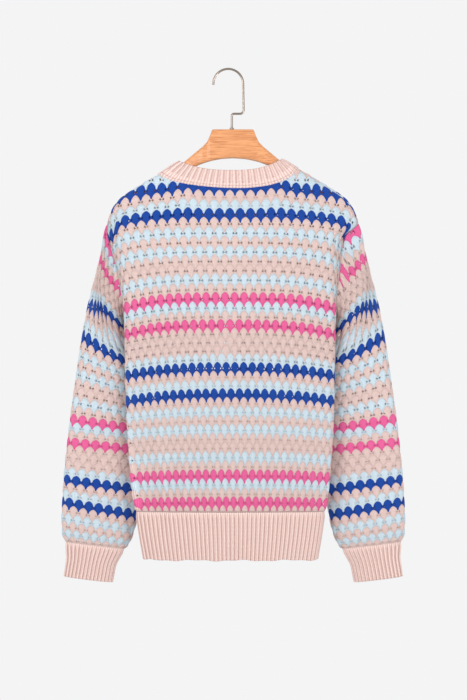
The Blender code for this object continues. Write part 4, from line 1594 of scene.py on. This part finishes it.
@dataclass
class Neckband:
    """The ribbed collar band, with a plain strip under its linked row of loops."""

    name: str = "neckband_knit"
    ribs_back: int = 24
    ribs_front: int = 28
    steps: int = 12
    fan: float = 0.22
    height: float = 1.9
    left_free: float = 88.9
    left_free_z: float = -150.2
    right_free: float = 80.9
    right_free_z: float = -147.0
    back_z: float = -166.4
    front_z: float = -221.0
    free_power: float = 2.6
    strip_middle: float = 0.30
    strip_end: float = 0.45
    levels: tuple = (
        0, 0.04, 0.08, 0.13, 0.18, 0.24, 0.3, 0.36, 0.42, 0.5, 0.6, 0.7, 0.8, 0.9, 0.96, 1
    )
    turns: tuple = (
        Turn(0.9, 0.5, 1.02), Turn(2.2, 0.3, 1.05), Turn(3.0, -1.5, 1.1), Turn(3.1, -9.0, 1.4)
    )

    def loops(self, face: int, count: int) -> tuple[np.ndarray, np.ndarray, np.ndarray]:
        """The seam and the free edge along one face, from the left end to the right one.

        Args:
            face: -1 for the back and 1 for the front.
            count: how many steps to take.

        Returns:
            The seam, the free edge, and each point's share of its side's reach.
        """
        ends = (TORSO.left_neck, TORSO.right_neck)
        turn = np.sin(np.linspace(-math.pi / 2, math.pi / 2, 601))
        reach = (ends[0] + ends[1]) / 2 + (ends[1] - ends[0]) / 2 * turn
        across = reach / TORSO.shoulder_reach
        seam = TORSO.hung(face, across, TORSO.neck_depth(face, reach))
        line = np.concatenate([seam, reach[:, None]], axis=-1)
        line = read_along(line, np.linspace(0, 1, count + 1))
        seam, reach = line[:, :3], line[:, 3]
        end = np.where(reach < 0, -ends[0], ends[1])
        share = reach / end
        share = share * (1 + self.fan * (1 - share**2))
        free = np.where(reach < 0, self.left_free, self.right_free)
        corner = np.where(reach < 0, self.left_free_z, self.right_free_z)
        low = self.back_z if face < 0 else self.front_z
        z = low + (corner - low) * np.abs(share) ** self.free_power
        lean = (2.5 if face < 0 else 4.0) * (1 - share**2)
        y = seam[:, 1] - face * lean - (TORSO.forward(reach) - TORSO.forward(share * free))
        x = TORSO.level("centre_x", np.array(-150.0)) + share * free
        return seam, np.stack([x, y, z], axis=-1), np.abs(share)

    def build(self, wardrobe: Wardrobe) -> bpy.types.Object:
        """Makes the band.

        Args:
            wardrobe: the finishes.

        Returns:
            The band's object.
        """
        back = self.loops(-1, self.ribs_back * self.steps)
        front = self.loops(1, self.ribs_front * self.steps)
        seam, free, share = (
            np.concatenate([b[:-1], f[::-1][:-1]]) for b, f in zip(back, front)
        )
        place = np.arange(len(seam) + 1) / self.steps
        levels = np.array(self.levels)
        middle = seam[None] + (free - seam)[None] * levels[:, None, None]
        along = np.roll(middle, -1, axis=1) - np.roll(middle, 1, axis=1)
        normal = unit(np.cross(along, np.gradient(middle, axis=0)))
        normal = facing(normal, middle - middle.mean(axis=(0, 1)))
        strip = self.strip_middle + (self.strip_end - self.strip_middle) * share**3
        above = levels[:, None] - strip[None, :]
        start = ease(above / 0.08)
        rib = self.height * rib_profile(place[:-1])[None, :] * start
        plain = (1 - start) * 1.0 * ease(levels[:, None] / 0.05)
        line = np.exp(-((above / 0.03) ** 2))
        swell = 1.2 * 4 * levels * (1 - levels)
        cord = 0.9 * np.exp(-(((levels - 0.06) / 0.035) ** 2))[:, None]
        gap = (1 - rib_profile(place[:-1]))[None, :]
        sewn = np.exp(-(((levels - 0.13) / 0.022) ** 2))[:, None] * (0.35 + 0.35 * gap)
        height = rib + plain - 0.9 * line + cord + swell[:, None]
        cloth = RibCloth(
            middle=middle,
            normal=normal,
            points=middle + normal * height[..., None],
            rib=rib,
            # Painted shade in the rib gaps and at the linking holes, with a darker seam row.
            shade=np.clip(start * gap * 0.42 + line * gap**2 + sewn, 0, 1),
            place=place,
            levels=levels,
            onward=unit(free - seam),
            turns=self.turns,
            stitches=13,
        )
        return cloth.build(self.name, wardrobe)


@dataclass
class Sleeve:
    """A sleeve in scalloped knit, from the armhole to the cuff."""

    side: Side
    name: str
    scallop: Scallop = field(default_factory=Scallop)
    pitches: int = 17
    last_row: int = 37
    end_row: float = 37.4
    first_stripe: int = 12
    open_until: float = 20.5
    slit: float = 0.4
    base_offset: float = 0.5
    seam_fade: float = 6.0
    centre_x: float = 8.4
    power: float = 2.2
    blend_rows: float = 5.0
    free_row: float = 9.0  # from here down the rows are whole loops
    seam_rows: tuple = (0.5, 4.0)  # first row and number of rows that leave the seam's places
    chart_rows: tuple = (7.0, 6.0)  # likewise for those that leave the charted heights
    chart_middle: float = 6.0
    slope_step: float = 0.03  # in pitches or rows, to measure the form's slopes
    row_height: float = 15.0
    hole_room: float = 3.0  # mm from the seam within which there are no eyelets
    clearance: float = 4.6
    clearance_rows: float = 2.0
    underarm: float = -409.0
    shoulder: float = -251.0
    table_rows: np.ndarray = field(default_factory=lambda: np.linspace(0, 37.4, 375))
    table: np.ndarray | None = None
    ring_of: np.ndarray | None = None  # ring that a row follows, by row and place round it
    seam_row: np.ndarray | None = None  # row at which the armhole cuts each place round it

    def ring_at(self, rows: tuple, row: float) -> Ring:
        """A ring read anywhere along its table.

        Args:
            rows: the table's rings.
            row: the knitted row to read.

        Returns:
            The ring of that row.
        """
        values = [float(smooth(rows, "row", name, np.array(row))) for name in Ring._fields[1:]]
        return Ring(row, *values)

    def ring_ends(self, ring: Ring) -> tuple[np.ndarray, np.ndarray]:
        """Places of a ring's ends.

        Args:
            ring: the ring.

        Returns:
            Its outer and its inner point.
        """
        side = self.side.value
        outer = np.array([self.centre_x + side * ring.outer_x, ring.outer_y, ring.outer_z])
        inner = np.array([ring.inner_centre + side * ring.inner_x, ring.inner_y, ring.inner_z])
        return outer, inner

    def oval(self, ring: Ring, shares: np.ndarray) -> np.ndarray:
        """A ring as points, from its outer point round the back.

        Args:
            ring: the ring.
            shares: shares of its length, from 0 to 1.

        Returns:
            The points in mm.
        """
        outer, inner = self.ring_ends(ring)
        chord = inner - outer
        along = chord / np.linalg.norm(chord)
        back = -np.array([0.0, 1.0, 0.0]) + along[1] * along
        back /= np.linalg.norm(back)
        lift = -self.side.value * np.array([along[2], 0.0, -along[0]])
        lift /= np.linalg.norm(lift)
        angle = np.linspace(0, 2 * math.pi, 241)
        cosine = power_of(np.cos(angle), 2 / self.power)
        sine = power_of(np.sin(angle), 2 / self.power)
        share = (1 - cosine) / 2
        points = (
            outer
            + share[:, None] * chord
            + (ring.half_depth * sine)[:, None] * back
            + (ring.bow * 4 * share * (1 - share))[:, None] * lift
        )
        points[:, 1] += (share**ring.curl - share) * chord[1]
        return read_along(points, shares)

    def clear_of_torso(self, ring: np.ndarray, clearance: float) -> np.ndarray:
        """Moves points straight out of the body's section, to lie just clear of it.

        Args:
            ring: the points.
            clearance: mm to stay clear of the section.

        Returns:
            The moved points.
        """
        moved = ring.copy()
        z = moved[:, 2]
        centre, swing = TORSO.level("centre_x", z), TORSO.level("swing", z)
        width = TORSO.level("half_width", z) + clearance
        below = np.clip((TORSO.crest(moved[:, 0] - centre) - z) / TORSO.shoulder_fall, 0, 1)
        depth = TORSO.shoulder_round + clearance
        depth = depth + (TORSO.level("half_depth", z) - TORSO.shoulder_round) * ease(below)
        power = TORSO.section_power + 3.4 * ease((90 - TORSO.level("turn", z)) / 20)
        for _ in range(5):
            x = moved[:, 0] - centre
            y = moved[:, 1] - TORSO.forward(x) * swing
            a, b = np.abs(x) / width, np.abs(y) / depth
            inside = np.clip(1 - (a**power + b**power) ** (1 / power), 0, None)
            slope_x = a ** (power - 1) / width * np.sign(x)
            slope_y = b ** (power - 1) / depth * np.where(y < 0, -1.0, 1.0)
            steep = np.maximum(np.hypot(slope_x, slope_y), 1e-9)
            reach = np.clip(inside / steep, 0, 20)
            moved[:, 0] += reach * slope_x / steep
            moved[:, 1] += reach * slope_y / steep
        return moved

    def armhole(self) -> tuple[np.ndarray, int]:
        """Lays out the armhole's edge.

        Returns:
            Its outline, down the back and up the front, and the number of its lowest point.
        """
        z = self.shoulder + np.linspace(0, 1, 81) * (self.underarm - self.shoulder)
        edge = np.full_like(z, float(self.side.value))
        back = TORSO.point(-1, edge, z)
        front = TORSO.point(1, edge, z)[::-1]
        return np.concatenate([back, front[1:]]), len(back) - 1

    def prepare(self) -> None:
        """Works out the sleeve's rings at even steps round and down it."""
        seam, under = self.armhole()
        steps = np.linalg.norm(np.diff(seam, axis=0), axis=1)
        seam_shares = np.concatenate([[0], np.cumsum(steps)])
        seam_shares /= seam_shares[-1]
        count = len(seam)
        back_half, front_half = np.linspace(0, 0.5, under + 1), np.linspace(0.5, 1, count - under)
        even = np.concatenate([back_half[:-1], front_half])
        down = np.where(seam_shares < 0.5, seam_shares * 2, 2 - seam_shares * 2)
        first_outer, first_inner = self.ring_ends(self.ring_at(SLEEVE_RINGS, 0.0))
        wanted = np.linspace(0, 1, 341)
        rings = []
        for row in self.table_rows:
            if row == 0:
                rings.append(read_along(seam, wanted))
                continue
            ring = self.ring_at(SLEEVE_RINGS, row)
            outer, inner = self.ring_ends(ring)
            shares = seam_shares + (even - seam_shares) * ease(row / 10)
            turned = np.stack([down, down**ring.curl, down], axis=-1)
            carried = seam + (outer - first_outer) * (1 - turned) + (inner - first_inner) * turned
            own = ease(row / self.blend_rows)
            placed = carried + (self.oval(ring, shares) - carried) * own
            clear = self.clearance * min(row / self.clearance_rows, 1)
            placed = self.clear_of_torso(placed, clear)
            rings.append(read_along(placed, wanted))
        self.table = np.stack(rings)
        self.seam_row = smooth(SEAM_MARKS, "z", self.side.name.lower(), self.table[0][:, 2])
        rings = self.table_rows[:, None]
        near_seam = rings + self.seam_row[None, :] * np.clip(1 - rings / self.free_row, 0, 1)
        leave_chart = ease((rings - self.chart_rows[0]) / self.chart_rows[1])
        charted = rings + (self.row_of(self.table) - rings) * (1 - leave_chart)
        leave_seam = ease((rings - self.seam_rows[0]) / self.seam_rows[1])
        knitted = near_seam + (charted - near_seam) * leave_seam
        knitted = np.maximum.accumulate(knitted + rings * 1e-4, axis=0)
        self.ring_of = np.stack(
            [np.interp(self.table_rows, line, self.table_rows) for line in knitted.T], axis=-1
        )

    def row_of(self, points: np.ndarray) -> np.ndarray:
        """The knitted row on which points lie, where the rows hang free of the armhole.

        Args:
            points: places on the sleeve's form, in mm.

        Returns:
            Each point's row, as a number with a fraction.
        """
        rows = np.linspace(0, 14, 57)
        reach = np.abs(points[..., 0] - self.chart_middle)
        lines = []
        for row in rows:
            ring = self.ring_at(SLEEVE_RINGS, row)
            share = np.clip((ring.outer_x - reach) / (ring.outer_x - ring.inner_x), -0.1, 1.1)
            lines.append(
                ring.outer_z
                + share * (ring.inner_z - ring.outer_z)
                + ring.bow * 4 * share * (1 - share)
            )
        lines = np.stack(lines)
        above = (lines > points[..., 2]).sum(axis=0)
        low = np.clip(above - 1, 0, len(rows) - 2)
        start = np.take_along_axis(lines, low[None], 0)[0]
        end = np.take_along_axis(lines, low[None] + 1, 0)[0]
        part = np.clip((start - points[..., 2]) / np.maximum(start - end, 1e-6), 0, 1)
        return rows[0] + (low + part) * (rows[1] - rows[0])

    def read(self, table: np.ndarray, x: np.ndarray, v: np.ndarray) -> np.ndarray:
        """Reads a table by rows and places round the sleeve.

        Args:
            table: the table, whose first and last columns meet.
            x: place round the sleeve, in pitches.
            v: place down it, in rows.

        Returns:
            The value or the point at each place.
        """
        column = (x / self.pitches) % 1.0 * (table.shape[1] - 1)
        return between(table, v / (self.table_rows[1] - self.table_rows[0]), column)

    def place(self, x: np.ndarray, v: np.ndarray) -> np.ndarray:
        """Points of the smooth form at places in pitches round it and rows down it."""
        return self.read(self.table, x, self.read(self.ring_of, x, v))

    def folds(self, x: np.ndarray, v: np.ndarray) -> np.ndarray:
        """Depth of the sleeve's soft folds.

        Args:
            x: place round the sleeve, in pitches.
            v: place down it, in rows.

        Returns:
            How far the cloth sinks there, in mm.
        """
        share = (x / self.pitches) % 1.0
        depth = np.zeros(x.shape)
        for fold in SLEEVE_CREASES:
            if fold.side != self.side.value:
                continue
            part = np.clip((v - fold.row_top) / (fold.row_bottom - fold.row_top), 0, 1)
            middle = fold.share_top + (fold.share_bottom - fold.share_top) * part
            along = ease((v - fold.row_top) / 5) * ease((fold.row_bottom + 2 - v) / 3)
            depth += fold.depth * along * np.exp(-(((share - middle) / fold.width) ** 2))
        return depth

    def build(self, wardrobe: Wardrobe) -> bpy.types.Object:
        """Makes the sleeve.

        Args:
            wardrobe: the finishes.

        Returns:
            The sleeve's object.
        """
        self.prepare()
        rows = range(1, self.last_row + 1)
        openness = np.array([1.0 if row < self.open_until else self.slit for row in rows])
        grid = self.scallop.lattice(rows, 2 * self.pitches, 0.0, openness, (0.0, self.end_row))
        x, v, small = grid["x"], grid["v"], self.slope_step
        base = self.place(x, v)
        toward = self.place(x + small, v) - self.place(x - small, v)
        down = self.place(x, v + small) - self.place(x, v - small)
        normal = facing(unit(np.cross(toward, down)), base - base.mean(axis=1, keepdims=True))
        round_it = np.linspace(0, 1, len(self.seam_row))
        inside = v - np.interp((x / self.pitches) % 1.0, round_it, self.seam_row)
        room = np.minimum(self.read(self.ring_of, x, v), self.end_row - v) * self.row_height
        fade = ease(room / self.seam_fade)
        shown = (grid["across"], grid["level"], self.scallop.line_openness(openness))
        height = self.scallop.relief(*shown) + self.base_offset - self.folds(x, v)
        first = np.clip(np.argmax(inside > 0, axis=0) - 1, 0, None)
        first[-1] = first[0]
        shell = Shell(
            points=(base + normal * (height * fade)[..., None])[:, :-1],
            uv=self.scallop.stitches(x, v),
            wraps=True,
            finish=striped(grid["row"] - 1 + self.first_stripe, x.shape[1] - 1),
            holes=grid["holes"] & (np.minimum(room[:-1, :-1], room[1:, :-1]) > self.hole_room),
            first=first,
            # Painted shade round the eyelets and in the grooves.
            shade=self.scallop.shadow(*shown)[:, :-1],
        )
        made = shell.build(self.name, wardrobe.yarns)
        return made


@dataclass
class Cuff:
    """The ribbed cuff at the end of a sleeve."""

    sleeve: Sleeve
    name: str
    ribs: int = 30
    steps: int = 8
    height: float = 2.1
    # Strength of the painted shade in the rib gaps.
    painted_gap_shade: float = 0.6
    levels: tuple = (0, 0.03, 0.07, 0.13, 0.22, 0.34, 0.46, 0.58, 0.70, 0.82, 0.91, 0.97, 1)
    turns: tuple = (
        Turn(1.0, 0.8, 1.02), Turn(2.4, 0.6, 1.04), Turn(3.2, -1.5, 1.08), Turn(3.3, -9.0, 1.2)
    )

    def build(self, wardrobe: Wardrobe) -> bpy.types.Object:
        """Makes the cuff, with its free edge turned in.

        Args:
            wardrobe: the finishes.

        Returns:
            The cuff's object.
        """
        count, levels, sleeve = self.ribs * self.steps, np.array(self.levels), self.sleeve
        place = np.arange(count + 1) / self.steps
        shares = np.arange(count) / count
        loops = [sleeve.oval(ring, shares) for ring in CUFF_RINGS]
        end_row = np.full(count, sleeve.end_row)
        loops[0] = sleeve.read(sleeve.table, shares * sleeve.pitches, end_row)
        lines = []
        for share in levels:
            far = share * 2
            index = min(int(far), 1)
            part = far - index
            lines.append(loops[index] * (1 - part) + loops[index + 1] * part)
        middle = np.stack(lines)
        along = np.roll(middle, -1, axis=1) - np.roll(middle, 1, axis=1)
        normal = unit(np.cross(along, np.gradient(middle, axis=0)))
        normal = facing(normal, middle - middle.mean(axis=1, keepdims=True))
        rise = ease(levels / 0.14)[:, None]
        rib = self.height * rib_profile(place[:-1])[None, :] * rise
        cloth = RibCloth(
            middle=middle,
            normal=normal,
            points=middle + normal * rib[..., None],
            rib=rib,
            # Painted shade in the rib gaps.
            shade=rise * (1 - rib_profile(place[:-1]))[None, :] * self.painted_gap_shade,
            place=place,
            levels=levels,
            onward=unit(middle[-1].mean(axis=0) - middle[-3].mean(axis=0)),
            turns=self.turns,
            stitches=-25,
        )
        return cloth.build(self.name, wardrobe)


@dataclass
class Hanger:
    """The wooden hanger with its hook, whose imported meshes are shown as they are."""

    wood: str = "hanger_body"
    metal: tuple[str, ...] = ("hanger_hook", "hook_collar")

    def dress(self, wardrobe: Wardrobe) -> None:
        """Gives each of its nodes its finish.

        Args:
            wardrobe: the finishes.
        """
        finishes = {self.wood: wardrobe.beech} | {name: wardrobe.nickel for name in self.metal}
        for name, finish in finishes.items():
            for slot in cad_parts[name].material_slots:
                slot.material = finish
            log.info("%s: %s", name, finish.name)


class Lamp(NamedTuple):
    """A soft square lamp that faces the garment's middle, in metres and watts."""

    name: str
    place: tuple[float, float, float]
    size: float
    power: float


@dataclass
class Studio:
    """Floor, light and camera. A rail at this height leaves the floor below the picture."""

    floor_z: float = -1650.0
    floor_reach: float = 4000.0
    background: str = "#F4F4F5"
    aim: tuple = (0.0, 0.0, -0.45)
    lamps: tuple[Lamp, ...] = (
        Lamp("key", (-1.5, -2.4, 0.2), 1.3, 33.0),
        Lamp("fill", (1.5, -2.2, -0.6), 0.8, 20.0),
    )

    def build(self) -> None:
        """Sets up everything round the garment."""
        scene = bpy.context.scene
        data = bpy.data.cameras.new("camera")
        data.sensor_fit = "VERTICAL"
        data.sensor_height = 36.0
        data.lens = CAMERA_REACH / PIXEL / PHOTO_HEIGHT * data.sensor_height
        data.clip_start, data.clip_end = 0.05, 50.0
        camera = bpy.data.objects.new("camera", data)
        camera.location = (CAMERA_X * MM, -CAMERA_REACH * MM, CAMERA_Z * MM)
        camera.rotation_euler = (math.pi / 2, 0.0, 0.0)
        scene.collection.objects.link(camera)
        scene.camera = camera

        mesh = bpy.data.meshes.new("floor")
        z, far = self.floor_z * MM, self.floor_reach * MM
        corners = [(-far, -far, z), (far, -far, z), (far, far, z), (-far, far, z)]
        mesh.from_pydata(corners, [], [(0, 1, 2, 3)])
        mesh.materials.append(MattPaper().build())
        floor = bpy.data.objects.new("floor", mesh)
        scene.collection.objects.link(floor)

        world = bpy.data.worlds.new("studio")
        scene.world = world
        world.use_nodes = True
        background = world.node_tree.nodes["Background"]
        background.inputs["Color"].default_value = linear(self.background)
        background.inputs["Strength"].default_value = 1.0
        for lamp in self.lamps:
            self.light(lamp)
        scene.view_settings.view_transform = "Standard"
        scene.view_settings.look = "None"

    def light(self, lamp: Lamp) -> None:
        """Sets up one lamp.

        Args:
            lamp: its place, size and power.
        """
        data = bpy.data.lights.new(lamp.name, "AREA")
        data.size, data.energy = lamp.size, lamp.power
        made = bpy.data.objects.new(lamp.name, data)
        made.location = lamp.place
        aim = np.array(self.aim) - np.array(lamp.place)
        yaw = math.atan2(aim[1], aim[0]) - math.pi / 2
        pitch = math.atan2(aim[2], math.hypot(aim[0], aim[1]))
        made.rotation_euler = (math.pi / 2 + pitch, 0.0, yaw)
        bpy.context.scene.collection.objects.link(made)


class Cut(NamedTuple):
    """What one piece of cloth measures laid flat, in metres, and what carries it."""

    width: float
    length: float
    area: float
    rests_on: tuple[str, ...]


# In the order in which the pieces are made; a tube's width is its whole way round. The two
# panels' areas are 27 scallops of the counted widths over the panel's outline, and their length
# is an estimate. The bands' lengths include 12 mm that is turned in. The sleeves' are those of
# their form. A cuff is taken as about 80 mm wide when laid flat, so 180 mm round with its give.
CUTS = (
    Cut(0.463, 0.62, 0.2145, ("hanger_body",)),
    Cut(0.463, 0.62, 0.2045, ("hanger_body",)),
    Cut(0.33, 0.091, 0.0300, ("back_knit",)),
    Cut(0.33, 0.091, 0.0300, ("front_knit",)),
    Cut(0.51, 0.045, 0.0229, ("back_knit", "front_knit")),
    Cut(0.31, 0.54, 0.140, ("back_knit", "front_knit")),
    Cut(0.18, 0.078, 0.0140, ("sleeve_left_knit",)),
    Cut(0.31, 0.54, 0.140, ("back_knit", "front_knit")),
    Cut(0.18, 0.078, 0.0140, ("sleeve_right_knit",)),
)


def main() -> None:
    """Builds every piece in order and reports it."""
    logging.basicConfig(level=logging.INFO, format="%(name)s: %(message)s")
    Studio().build()
    wardrobe = Wardrobe().build()
    pieces = []
    for kind, face, name, node in (
        (BodyPanel, Face.BACK, "back_knit", "back_panel"),
        (BodyPanel, Face.FRONT, "front_knit", "front_panel"),
        (HemBand, Face.BACK, "hem_back_knit", "hem_rib_back"),
        (HemBand, Face.FRONT, "hem_front_knit", "hem_rib_front"),
    ):
        made = kind(face, name).build(wardrobe)
        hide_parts(node)
        pieces.append(made)
    made = Neckband().build(wardrobe)
    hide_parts("neckband")
    pieces.append(made)
    for side, word in ((Side.LEFT, "left"), (Side.RIGHT, "right")):
        sleeve = Sleeve(side, f"sleeve_{word}_knit")
        for part, node in (
            (sleeve, f"sleeve_{word}"),
            (Cuff(sleeve, f"cuff_{word}_knit"), f"cuff_{word}"),
        ):
            made = part.build(wardrobe)
            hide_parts(node)
            pieces.append(made)
    Hanger().dress(wardrobe)
    for made, cut in zip(pieces, CUTS):
        list(cut.rests_on)
        mesh = made.data
        triangles = sum(len(polygon.vertices) - 2 for polygon in mesh.polygons)
        area = sum(polygon.area for polygon in mesh.polygons)
        log.info("%s: %d triangles, %.4f m2", made.name, triangles, area)


if __name__ == "__main__":
    main()
